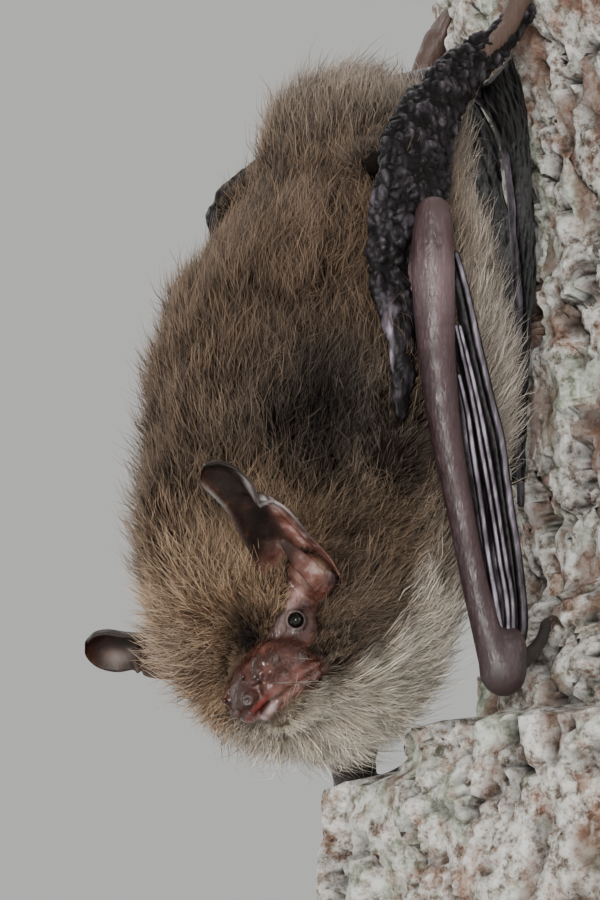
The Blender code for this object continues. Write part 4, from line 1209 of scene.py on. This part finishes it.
def claw(root, tip, bend, thick):
    """A hooked, tapering claw."""
    middle = between(root, tip, 0.55, bend)
    return tube([root, middle, tip], [thick, thick * 0.75, 0.05], sides=8, count=14, flat=0.7)


class BAT_OT_claws(bpy.types.Operator):
    """Hooked claws of feet and thumbs"""
    bl_idname = "bat.claws"
    bl_label = "Claws"

    def execute(self, context):
        hooks = []
        for side in (LEFT, RIGHT):
            for root, end in (toe_line(side, toe) for toe in range(5)):
                hooks.append(claw(between(root, end, 0.72), end + (0.9, 0, 0.1), (-0.35, 0.0, 0.45), 0.26))
            tip = np.array(THUMB_TIP[side])
            hooks.append(claw(between(WRIST[side], tip, 0.85), tip + (0.9, 0.0, -0.7), (0.0, 0.0, 0.6), 0.34))
        finish_piece("claws", joined(hooks), horn())
        return {"FINISHED"}


# ---------------------------------------------------------------- coat

class BatCoat(bpy.types.PropertyGroup):
    """Density and thickness of the coat"""
    guard: bpy.props.IntProperty(
        name="Guard hairs", description="Bent strands in each patch of coat", default=9200, min=100,
        max=16000)
    under: bpy.props.IntProperty(
        name="Underfur", description="Short straight strands in each patch", default=14000, min=100,
        max=30000)
    width: bpy.props.FloatProperty(
        name="Strand radius", description="Radius of a strand near its root", default=0.000027, min=0.00001,
        max=0.0002, precision=6, unit="LENGTH")
    lean: bpy.props.FloatProperty(
        name="Lean", description="Angle of the hair to the skin", default=math.radians(38), min=0.1, max=1.5,
        subtype="ANGLE")
    clump: bpy.props.FloatProperty(
        name="Clumping", description="How far the tips of a tuft draw together", default=0.42, min=0.0,
        max=1.0, subtype="FACTOR")
    longest: bpy.props.FloatProperty(
        name="Longest hair", description="Greatest length of a strand", default=0.006, min=0.001, max=0.012,
        precision=4, unit="LENGTH")
    back: bpy.props.FloatVectorProperty(
        name="Back", description="Colour of the hair's tips on back and flanks", size=4, min=0.0, max=1.0,
        subtype="COLOR", default=colour("#967e68"))
    belly: bpy.props.FloatVectorProperty(
        name="Belly", description="Colour of the hair's tips on throat and belly", size=4, min=0.0, max=1.0,
        subtype="COLOR", default=colour("#fffcf5"))
    crown: bpy.props.FloatVectorProperty(
        name="Crown", description="Colour of the hair's tips on crown and brow", size=4, min=0.0, max=1.0,
        subtype="COLOR", default=colour("#e6c8a6"))
    nape: bpy.props.FloatVectorProperty(
        name="Nape", description="Colour of the hair's tips on the nape", size=4, min=0.0, max=1.0,
        subtype="COLOR", default=colour("#2a211b"))


# Hairs in a tuft, share of stray hairs, and share of the hairs that grow on naked skin of the face.
TUFT_HAIRS = 9
STRAY_SHARE = 0.05
NAKED_SHARE = 0.035


def skin_samples():
    """Corners, smooth normals and areas of the skin's triangles, in the bat's frame."""
    mesh = bpy.data.objects["skin"].data
    mesh.calc_loop_triangles()
    points, normals = from_world(co_of(mesh)), normals_of(mesh).astype(float)
    corners = np.empty(len(mesh.loop_triangles) * 3, np.int32)
    mesh.loop_triangles.foreach_get("vertices", corners)
    corners = corners.reshape(-1, 3)
    a, b, c = (points[corners[:, i]] for i in range(3))
    area = np.linalg.norm(np.cross(b - a, c - a), axis=1) / 2
    return points, normals, corners, area


def lie_of_coat(points, normals):
    """Direction in which the hair lies: from the nose back over head and body to the tail."""
    h = in_head(points)
    near = soft_step(-np.linalg.norm(points - at_head(1.0, 0.0, 0.0), axis=1), -13.0, -6.0)[:, None]
    back = np.array((0.10, 0.0, 1.0))
    from_nose = -np.array(FACE)[None] * 0.8 + unit(h * (0.0, 1.0, 0.8)) @ HEAD_AXES * 0.5
    way = from_nose * near + back * (1 - near)
    wander = np.array([noise.noise_vector(p) for p in (points / 3.2).tolist()]) * 0.75
    way = way + wander
    way = way - normals * (way * normals).sum(1, keepdims=True)
    return unit(way)


def strand_mesh(groups):
    """Closed three-sided strands as one mesh, from groups of strands with equally many points.

    A group holds its lines, radii, markings, shades, UV spots, and how far up a hair its tips count as.
    """
    verts, faces, strand, marks, spots = [], [], [], [], []
    start = 0
    for lines, radii, mark, shade, patch, top in groups:
        count, rings = len(lines), lines.shape[1] - 2
        size = 3 * rings + 2
        ahead = unit(lines[:, -1] - lines[:, 0])
        across = unit(np.cross(ahead, (0.31, 0.52, 0.79)))
        over = np.cross(ahead, across)
        points = np.empty((count, size, 3))
        points[:, 0], points[:, -1] = lines[:, 0], lines[:, -1]
        tris = []
        # Each ring of three corners is turned a little, and thinner than the last.
        for ring in range(rings):
            for k in range(3):
                turn = math.tau * k / 3 + 0.6 * ring
                reach = (across * math.cos(turn) + over * math.sin(turn)) * radii[:, None] * (1 - 0.25 * ring)
                points[:, 1 + 3 * ring + k] = lines[:, 1 + ring] + reach
        last = 3 * rings - 2
        for k in range(3):
            j = (k + 1) % 3
            tris += [(0, 1 + j, 1 + k), (last + k, last + j, size - 1)]
            for low in range(1, last, 3):
                tris += [(low + k, low + j, low + 3 + j), (low + k, low + 3 + j, low + 3 + k)]
        faces.append((np.array(tris)[None] + start + size * np.arange(count)[:, None, None]).reshape(-1, 3))
        along = [top * (ring + 1) / (rings + 1) for ring in range(rings) for _ in range(3)]
        along = np.array([0.0] + along + [top])
        tone = np.ones((count, size, 4))
        tone[..., 0], tone[..., 1], tone[..., 2] = along, shade[:, None], 0.0
        flat = np.array([0.5] + [0.0, 0.5, 1.0] * rings + [0.5])
        spots.append((patch[:, None] + 0.003 * np.stack((flat, along / top), 1)[None]).reshape(-1, 2))
        verts.append(points.reshape(-1, 3))
        strand.append(tone.reshape(-1, 4))
        marks.append(np.repeat(mark, size, axis=0))
        start += count * size
    verts, faces, spots = np.concatenate(verts), np.concatenate(faces), np.concatenate(spots)
    mesh = bpy.data.meshes.new("coat")
    mesh.vertices.add(len(verts))
    mesh.vertices.foreach_set("co", verts.astype(np.float32).ravel())
    mesh.loops.add(faces.size)
    mesh.loops.foreach_set("vertex_index", faces.astype(np.int32).ravel())
    mesh.polygons.add(len(faces))
    mesh.polygons.foreach_set("loop_start", np.arange(0, faces.size, 3, dtype=np.int32))
    mesh.update(calc_edges=True)
    store(mesh, "strand", np.concatenate(strand))
    store(mesh, "coat_marks", np.concatenate(marks))
    layer = mesh.uv_layers.new(name="OFBake")
    layer.data.foreach_set("uv", spots[faces.ravel()].astype(np.float32).ravel())
    return mesh


def unwrap(points, region):
    """Roots laid out by their turn round the body or head and their height along it, 0.01 to 0.99."""
    if region == "head":
        h = in_head(points)
        turn, high = np.arctan2(h[:, 2], h[:, 1]), h[:, 0]
    else:
        turn, high = np.arctan2(points[:, 1], points[:, 0] + 15.0), points[:, 2]
    spots = np.stack((turn, high), 1)
    low, top = spots.min(0), spots.max(0)
    return 0.01 + 0.975 * (spots - low) / np.maximum(top - low, 1e-6)


def coat_depth(roots, outline):
    """Room for the coat between the skin and the outline, and the least that short-haired places have."""
    depth = np.zeros(len(roots))
    for i, root in enumerate(roots):
        spot, way, _, away = outline.find_nearest(Vector(root))
        if (spot - Vector(root)).dot(way) > 0:
            depth[i] = away
    h = in_head(roots)
    least = 0.55 * soft_step(-np.linalg.norm(h - (3.0, 0.0, -0.5), axis=1), -9.0, -7.5)
    least = least + 0.5 * blob(h, (6.5, 0.0, -3.6), (3.0, 3.0, 1.6))
    short = 0.9 + 4.0 * soft_step(np.linalg.norm(h - (6.0, 1.5, 0.0), axis=1), 2.4, 6.0) \
        + 3.0 * soft_step(-h[:, 2], 1.8, 3.4) + 3.0 * soft_step(-h[:, 1], 0.6, 2.2)
    for side in (LEFT, RIGHT):
        for a, b in ((mirrored(SHOULDER, side), ELBOW[side]), (mirrored(HIP, side), KNEE[side])):
            share, away = nearest_on_line(roots, a, b)
            least = np.maximum(least, 1.4 * soft_step(-away, -2.6, -2.0) * soft_step(-share, -0.92, -0.7))
    depth = depth + 1.3 * blob(h, (2.5, -5.0, 3.0), (5.0, 4.5, 6.0)) * (depth > 0.3)
    depth = depth + 0.9 * blob(h, (5.0, -6.0, 5.0), (3.5, 3.5, 4.0)) * (depth > 0.3)
    depth = np.clip(np.minimum(depth, short), least, 5.0)
    for side in (LEFT, RIGHT):
        elbow, way = np.array(ELBOW[side]), np.array(WRIST[side]) - ELBOW[side]
        share = (roots[:, 2] - elbow[2]) / way[2]
        across = roots[:, 0] - elbow[0] - share * way[0]
        behind = soft_step(across, -2.0, -1.0) * soft_step(-across, -3.4, -2.9) \
            * soft_step(share, 0.05, 0.15) * soft_step(-share, -1.0, -0.9) * (roots[:, 1] * side > 6.0)
        depth = np.where(behind > 0.5, np.minimum(depth, np.maximum(13.6 - roots[:, 1] * side, 0.3)), depth)
    return depth


def grow(name, mask, seed, outline, region, material, settings):
    """One patch of coat: guard hairs and underfur on the skin where mask allows, out to the outline."""
    draw = np.random.default_rng(seed)
    points, normals, corners, area = skin_samples()
    weight = area * mask(points[corners].mean(1))
    total = settings.guard + settings.under
    pick = draw.choice(len(corners), size=int(total * 1.5), p=weight / weight.sum())
    share = draw.dirichlet((1, 1, 1), size=len(pick))
    roots = (points[corners[pick]] * share[..., None]).sum(1)
    out = unit((normals[corners[pick]] * share[..., None]).sum(1))
    depth = coat_depth(roots, outline)
    bare, _ = bare_map(roots)
    naked = bare[:, 0] > 0.8
    sparse = naked & (draw.random(len(roots)) < NAKED_SHARE) & (bare[:, 2] < 0.6)
    keep = (depth > 0.25) & (draw.random(len(roots)) > np.clip(bare[:, 0] * 1.15 + bare[:, 1] * 2, 0, 1))
    depth = np.where(sparse, 0.42, depth)
    kept = np.flatnonzero(keep | sparse)[:total]
    roots, out, depth, sparse = roots[kept], out[kept], depth[kept], sparse[kept]
    number = len(roots)
    guard = np.arange(number) < number * settings.guard / total
    lie = lie_of_coat(roots, out)
    # Tufts: neighbours share a lean, a shade and a meeting point for their tips.
    tufts = max(number // TUFT_HAIRS, 1)
    centre = draw.choice(np.flatnonzero(guard), size=tufts, replace=False)
    tree = tree_of(roots[centre])
    group = np.array([tree.find(p)[1] for p in roots])
    sway = draw.normal(0, 0.20, (tufts, 3))[group] + draw.normal(0, 0.15, (number, 3))
    # Partings: where this noise is low the hair is shorter, and further down its shade is darker, as painted
    # shade in the parting.
    part = turbulence(roots, 2.6, 2)
    tall = depth * (0.86 + 0.22 * draw.random(tufts)[group] + draw.normal(0, 0.08, number) + 0.16 * part)
    wild = (draw.random(number) < STRAY_SHARE) & guard
    tall = np.where(wild, tall * draw.uniform(1.05, 1.4, number), tall)
    tall = np.where(guard, tall, tall * draw.uniform(0.55, 0.95, number))
    upright = 1 + 0.5 * blob(in_head(roots), (2.0, -4.0, 3.0), (6.0, 5.0, 6.0))
    lean = np.clip(settings.lean * upright * (1 + 0.25 * draw.normal(0, 1, number)), 0.25, 1.3)
    length = np.clip(tall / np.sin(lean), 0.4, mm(settings.longest))
    rise = np.clip(tall / length, 0.1, 0.98)
    run = np.sqrt(1 - rise ** 2)
    swing = unit(lie + np.cross(out, lie) * (2.0 * sway[:, :1]))
    curl = np.cross(out, swing) * draw.normal(0, 0.12, number)[:, None]
    # A hair starts just inside the skin, rises steeply and bends over towards its tip.
    lines = np.empty((number, 4, 3))
    lines[:, 0] = roots - out * 0.12
    for k, (up, on, aside) in enumerate(((0.46, 0.26, 1.0), (0.84, 0.64, 1.3), (1.0, 1.0, 0.0))):
        lines[:, k + 1] = roots + out * (rise * length * up)[:, None] + swing * (run * length * on)[:, None] \
            + (sway * 0.14 * (k + 1) + curl * aside) * length[:, None]
    pull = settings.clump * np.where(wild, 0.1, draw.uniform(0.4, 1.2, number))[:, None]
    lines[:, 3] += (lines[centre, 3][group] - lines[:, 3]) * pull
    lines[:, 2] += (lines[centre, 2][group] - lines[:, 2]) * pull * 0.5
    marks = markings(roots)
    # The shade of each tuft and strand differs at random; the part term adds painted shade in the partings.
    shade = 0.44 + draw.normal(0, 0.15, tufts)[group] + draw.normal(0, 0.13, number)
    shade = np.clip(shade + 0.3 * wild + 0.22 * part, 0, 1)
    radii = mm(settings.width) * draw.uniform(0.7, 1.2, number) * np.clip(length / 3.5, 0.5, 1.1)
    radii = np.where(sparse, 0.014, radii)
    spots = unwrap(roots, region)
    fine = ~guard
    groups = [(lines[guard], radii[guard], marks[guard], shade[guard], spots[guard], 1.0),
              (lines[fine][:, (0, 2, 3)], radii[fine] * 1.1, marks[fine], shade[fine], spots[fine], 0.78)]
    if name == "coat_cheeks":
        groups.append(whiskers(draw))
    return finish_piece(name, strand_mesh(groups), material)


def whiskers(draw):
    """Stiff hairs of lips and chin, as a group for strand_mesh."""
    lines = []
    for side in (LEFT, RIGHT):
        for _ in range(13):
            f, u = draw.uniform(6.0, 9.3), draw.uniform(-2.6, 0.6)
            root = (f, 2.6 * math.sqrt(max(1 - ((f - 5.6) / 4.6) ** 2, 0.05)), u)
            way = unit(np.array((draw.uniform(-0.2, 0.8), draw.uniform(0.5, 1.0),
                                 draw.uniform(-0.9, 0.3) + 0.3 * u)))
            length = draw.uniform(2.4, 4.6)
            droop = np.array((-0.25, 0.0, -0.25))
            lines.append([on_side(np.array(root) + (way * t + droop * t * t) * length, side)
                          for t in (0.0, 0.35, 0.7, 1.0)])
        for _ in range(7):
            root = (draw.uniform(5.0, 8.2), draw.uniform(0.0, 1.8), -3.0)
            way = np.array((draw.uniform(0.2, 1.6), draw.uniform(-0.2, 1.2), -3.2))
            tip = np.array(root) + way * draw.uniform(0.8, 1.3)
            lines.append([on_side(between(root, tip, t), side) for t in (0.0, 0.35, 0.7, 1.0)])
    lines = np.array(lines)
    count = len(lines)
    marks = np.tile((0.5, 0.0, 0.3, 1.0), (count, 1))
    return lines, np.full(count, 0.024), marks, np.full(count, 0.5), unwrap(lines[:, 0], "head"), 1.0


class BAT_OT_coat(bpy.types.Operator):
    """The long coat, in patches over head, neck and body"""
    bl_idname = "bat.coat"
    bl_label = "Coat"

    def execute(self, context):
        settings = context.scene.bat_coat
        outline = coat_outline()
        fur = bat_fur([tuple(tip) for tip in (settings.back, settings.belly, settings.crown, settings.nape)])

        def head_share(p):
            """1 on the head, falling to nothing on the neck."""
            return soft_step(-np.linalg.norm(p - at_head(-0.5, 0.0, -0.5), axis=1), -10.0, -7.0)

        def rest(p, low, high):
            """The rest of the body between two heights."""
            return (1 - head_share(p)) * (p[:, 2] > low) * (p[:, 2] <= high)

        patches = [
            ("coat_crown", "head", lambda p: head_share(p) * (in_head(p)[:, 2] > 0.5)),
            ("coat_cheeks", "head", lambda p: head_share(p) * (in_head(p)[:, 2] <= 0.5)),
            ("coat_shoulders", "body", lambda p: rest(p, -40, 1) * (p[:, 0] < -9)),
            ("coat_back_left", "body", lambda p: rest(p, 1, 19) * (p[:, 1] < 0) * (p[:, 0] < -9)),
            ("coat_back_right", "body", lambda p: rest(p, 1, 19) * (p[:, 1] >= 0) * (p[:, 0] < -9)),
            ("coat_belly", "body", lambda p: rest(p, -40, 19) * (p[:, 0] >= -9)),
            ("coat_rump", "body", lambda p: rest(p, 19, 60)),
        ]
        for seed, (name, region, mask) in enumerate(patches):
            grow(name, mask, 100 + seed, outline, region, fur, settings)
        return {"FINISHED"}


# ---------------------------------------------------------------- perch and stand

TRUNK_AXIS_X = 38.0
TRUNK_RADIUS = 36.0
TRUNK_TOP = 46.0
TRUNK_BOTTOM = -44.0
# Ledges of thicker bark: bearing and half width (degrees), top, depth of the step down, and how far out.
LEDGES = [
    (160.0, 24.0, -24.6, 2.2, 11.5), (198.0, 22.0, -20.8, 1.6, 9.0), (200.0, 26.0, -11.0, 3.0, 4.6),
]
# The same for the swelling at the top of the trunk, whose step goes up. The bark draws back behind the belly.
TOP_SWELL = (175.0, 40.0, 33.0, 6.0, 3.2)
HOLLOW = 1.7


def bark_reach(bearing, z):
    """Distance of the bark from the trunk's axis at a bearing (rad) and height, as in the solid."""
    reach = TRUNK_RADIUS - HOLLOW * soft_step(z, -17, -9) * soft_step(-z, -30, -22) \
        * np.exp(-((bearing - math.radians(175)) / 0.75) ** 2)
    for middle, spread, top, run, height in LEDGES:
        away = (bearing - math.radians(middle)) / math.radians(spread)
        reach = reach + height * np.exp(-away ** 4) * soft_step((top - z) / run + 0.5, 0, 1)
    middle, spread, top, run, height = TOP_SWELL
    away = (bearing - math.radians(middle)) / math.radians(spread)
    reach = reach + height * np.exp(-away ** 4) * soft_step((z - top) / run + 0.5, 0, 1)
    behind = soft_step(np.abs(bearing - math.pi), math.radians(50), math.radians(75))
    plates = np.sin(9 * bearing + 0.9 * np.sin(0.16 * z)) * np.cos(0.21 * z + 1.7 * np.sin(4 * bearing))
    return reach + plates * (0.5 + 0.9 * behind)


class BatPerch(bpy.types.PropertyGroup):
    """Detail of the bark"""
    around: bpy.props.IntProperty(
        name="Around", description="Faces round the trunk", default=480, min=60, max=900)
    up: bpy.props.IntProperty(name="Up", description="Faces up the trunk", default=190, min=30, max=400)
    relief: bpy.props.FloatProperty(
        name="Bark relief", description="Depth of the cracks", default=0.0011, min=0.0, max=0.004,
        precision=4, unit="LENGTH")


class BAT_OT_perch(bpy.types.Operator):
    """A cut length of trunk under thick, cracked and lichened bark"""
    bl_idname = "bat.perch"
    bl_label = "Perch"

    def execute(self, context):
        size = context.scene.bat_perch
        # Faces are finer on the bat's side.
        bearing = np.linspace(0, math.tau, size.around + 1)[None, :]
        bearing = bearing + 0.38 * np.sin(bearing)
        z = np.linspace(TRUNK_BOTTOM, TRUNK_TOP, size.up + 1)[:, None]
        reach = bark_reach(bearing, z)
        rows = np.stack((TRUNK_AXIS_X + reach * np.cos(bearing), reach * np.sin(bearing),
                         z + 0 * bearing), -1)
        rows[:, -1] = rows[:, 0]
        spots = rows.reshape(-1, 3)
        # Plates 8 mm wide and 15 mm tall with cracks between them, flakes half as large, and pits of 2 mm.
        plate = []
        for x, y, h in (spots * (0.13, 0.13, 0.065)).tolist():
            warp = noise.noise_vector((x * 2.3, y * 2.3, h * 3.1)) * 0.5
            warp = warp + noise.noise_vector((x * 7, y * 7, h * 9)) * 0.12
            near, places = noise.voronoi(Vector((x, y, h)) + warp)
            plate.append((near[1] - near[0], noise.cell(places[0] * 7.3)))
        plate = np.array(plate)
        crack = soft_step(-plate[:, 0], -0.07, -0.0) * soft_step(turbulence(spots, 9.0, 2), -0.35, 0.1)
        flake = np.array([noise.ridged_multi_fractal(p, 0.8, 2.1, 5, 0.95, 2.0)
                          for p in (spots * (0.26, 0.26, 0.13)).tolist()])
        flake = np.clip(flake / 2.4, 0, 1)
        pit = soft_step(turbulence(spots + 70, 2.4, 4), 0.18, 0.55)
        rough = turbulence(spots, 3.0, 6)
        fine = turbulence(spots + 40, 0.8, 3)
        inward = mm(size.relief) * (crack * 1.3 - 0.9 * plate[:, 1] - 1.0 * flake + 0.75 * pit) \
            - 0.45 * rough - 0.24 * fine - 1.1 * turbulence(spots + 20, 8.0, 3)
        inward = inward.reshape(rows.shape[:2])
        outward = np.stack((np.cos(bearing) + 0 * z, np.sin(bearing) + 0 * z, 0 * (z + bearing)), -1)
        rows = rows - outward * np.clip(inward + 0.3, -1.3, 3.4)[..., None]
        rows[:, -1] = rows[:, 0]
        bm = grid_from(rows)
        # Red: cracks and pits, for painted shade; green: where the flakes lie low, for the red-brown cork.
        tones = rgba(np.clip(crack + pit * 0.6, 0, 1), soft_step(-flake, -0.42, -0.2) * 0.7)
        bmesh.ops.remove_doubles(bm, verts=bm.verts, dist=0.0001)
        for ends in (TRUNK_BOTTOM, TRUNK_TOP):
            rim = [e for e in bm.edges if all(abs(v.co.z - ends) < 0.001 for v in e.verts)]
            bmesh.ops.edgeloop_fill(bm, edges=rim)
        mesh = mesh_of(face_out(bm))
        store(mesh, "relief", spread_values(mesh, rows.reshape(-1, 3), tones))
        finish_piece("perch_bark", mesh, lichened_bark(), ["perch_trunk"])
        mesh.materials.append(sawn_wood())
        for face in mesh.polygons:
            face.material_index = int(len(face.vertices) > 60)
        mesh.set_sharp_from_angle(angle=math.radians(60))
        return {"FINISHED"}


# Rounding of the base's rims, radius of a rod, and how far its two ends sink in together (m).
RIM_ROUNDING = 0.0014
ROD_RADIUS = 0.002
ROD_SUNK = 0.0012


class BAT_OT_stand(bpy.types.Operator):
    """Round base and two short rods of the display stand"""
    bl_idname = "bat.stand"
    bl_label = "Stand"

    def execute(self, context):
        low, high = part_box("stand_base")
        radius, height = (high.x - low.x) / 2, high.z - low.z
        bm = bmesh.new()
        bmesh.ops.create_cone(bm, cap_ends=True, segments=128, radius1=radius, radius2=radius, depth=height)
        rims = [e for e in bm.edges if any(len(f.verts) > 4 for f in e.link_faces)]
        bmesh.ops.bevel(bm, geom=rims, offset=RIM_ROUNDING, segments=4, profile=0.5, affect="EDGES",
                        material=-1)
        bmesh.ops.translate(bm, verts=bm.verts, vec=(0, 0, height / 2))
        turned("stand_plinth", bm, varnished_walnut(), "stand_base")
        steel = brushed_steel()
        for tag in "ab":
            low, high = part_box("stand_rod_" + tag)
            middle = (low + high) / 2
            bm = bmesh.new()
            bmesh.ops.create_cone(bm, cap_ends=True, segments=40, radius1=ROD_RADIUS, radius2=ROD_RADIUS,
                                  depth=high.z - low.z + ROD_SUNK)
            bmesh.ops.translate(bm, verts=bm.verts, vec=middle)
            turned("stand_post_" + tag, bm, steel, "stand_rod_" + tag)
        return {"FINISHED"}


def turned(name, bm, material, solid):
    """Enter a part of the stand, turned on a lathe: smooth round, sharp at its rims."""
    piece = enter(name, mesh_of(face_out(bm)), material, [solid])
    piece.data.set_sharp_from_angle(angle=math.radians(35))


# ---------------------------------------------------------------- stage

class BatStage(bpy.types.PropertyGroup):
    """Camera and light"""
    bearing: bpy.props.FloatProperty(
        name="Bearing", description="Turn of the camera from the front", default=math.radians(-21.7),
        subtype="ANGLE")
    tilt: bpy.props.FloatProperty(
        name="Tilt", description="Height of the camera over the horizon", default=math.radians(-10.0),
        subtype="ANGLE")
    distance: bpy.props.FloatProperty(
        name="Distance", description="From the camera to the bat's middle", default=0.28, unit="LENGTH")
    lens: bpy.props.FloatProperty(
        name="Lens", description="Focal length", default=147.84, min=10.0, max=500.0, unit="CAMERA")
    sky: bpy.props.FloatVectorProperty(
        name="Sky", description="Colour of the light all round", size=4, min=0.0, max=1.0, subtype="COLOR",
        default=colour("#e4e4e2"))


FLOOR_RADIUS = 3.0
# Soft lights: name, place (m), side (m) and power (W), and their slightly warm colour.
LIGHTS = [
    ("key", (-0.48, -0.85, 0.06), 0.22, 11.3), ("fill", (0.7, -0.6, 0.35), 0.6, 2.5),
    ("top", (0.1, 0.3, 1.0), 0.7, 5.0), ("rear", (-0.6, 0.8, 0.5), 0.6, 4.0),
]
LIGHT_COLOUR = (1.0, 0.985, 0.96)


def aim(piece, target):
    """Turn a camera or a light to look at the target."""
    piece.rotation_mode = "QUATERNION"
    piece.rotation_quaternion = (Vector(target) - piece.location).to_track_quat("-Z", "Y")


class BAT_OT_stage(bpy.types.Operator):
    """Camera, soft lights and a pale floor"""
    bl_idname = "bat.stage"
    bl_label = "Stage"

    def execute(self, context):
        stage = context.scene.bat_stage
        target = Vector(to_world((-16.9, 0.0, 0.0)))
        back = Vector((math.sin(stage.bearing) * math.cos(stage.tilt),
                       -math.cos(stage.bearing) * math.cos(stage.tilt), math.sin(stage.tilt)))
        data = bpy.data.cameras.new("camera")
        data.lens = stage.lens
        data.clip_start = 0.01
        camera = bpy.data.objects.new("camera", data)
        context.scene.collection.objects.link(camera)
        camera.location = target + back * stage.distance
        aim(camera, target)
        context.scene.camera = camera
        for name, place, size, power in LIGHTS:
            lamp = bpy.data.lights.new(name, "AREA")
            lamp.size = size
            lamp.energy = power
            lamp.color = LIGHT_COLOUR
            light = bpy.data.objects.new(name, lamp)
            context.scene.collection.objects.link(light)
            light.location = place
            aim(light, target)
        bm = bmesh.new()
        bmesh.ops.create_circle(bm, cap_ends=True, segments=96, radius=FLOOR_RADIUS)
        mesh = mesh_of(bm, "floor")
        mesh.materials.append(studio_paper())
        link("floor", mesh)
        world = bpy.data.worlds.new("studio")
        context.scene.world = world
        world.use_nodes = True
        sky = world.node_tree.nodes["Background"]
        sky.inputs["Color"].default_value = stage.sky
        sky.inputs["Strength"].default_value = 0.7
        return {"FINISHED"}


class BAT_PT_panel(bpy.types.Panel):
    """Lists the pieces of the bat model"""
    bl_idname = "BAT_PT_panel"
    bl_label = "Brown Bat"
    bl_space_type = "VIEW_3D"
    bl_region_type = "UI"
    bl_category = "Bat"

    def draw(self, context):
        for group in (context.scene.bat_body, context.scene.bat_coat, context.scene.bat_perch,
                      context.scene.bat_stage):
            box = self.layout.box()
            for key in group.bl_rna.properties.keys():
                if key not in ("rna_type", "name"):
                    box.prop(group, key)
        for step in STEPS:
            self.layout.operator(step.bl_idname)


GROUPS = {"bat_body": BatBody, "bat_coat": BatCoat, "bat_perch": BatPerch, "bat_stage": BatStage}
STEPS = (BAT_OT_stage, BAT_OT_perch, BAT_OT_stand, BAT_OT_skin, BAT_OT_eyes, BAT_OT_ears, BAT_OT_wings,
         BAT_OT_tail, BAT_OT_claws, BAT_OT_coat)
CLASSES = tuple(GROUPS.values()) + STEPS + (BAT_PT_panel,)


def register():
    """Add the classes and the scene's settings."""
    for item in CLASSES:
        bpy.utils.register_class(item)
    for name, group in GROUPS.items():
        setattr(bpy.types.Scene, name, bpy.props.PointerProperty(type=group))


def unregister():
    """Take the classes and the scene's settings out again."""
    for name in GROUPS:
        delattr(bpy.types.Scene, name)
    for item in reversed(CLASSES):
        bpy.utils.unregister_class(item)


def main():
    """Build every piece in turn."""
    register()
    for step in STEPS:
        family, name = step.bl_idname.split(".")
        getattr(getattr(bpy.ops, family), name)()


if __name__ == "__main__":
    main()
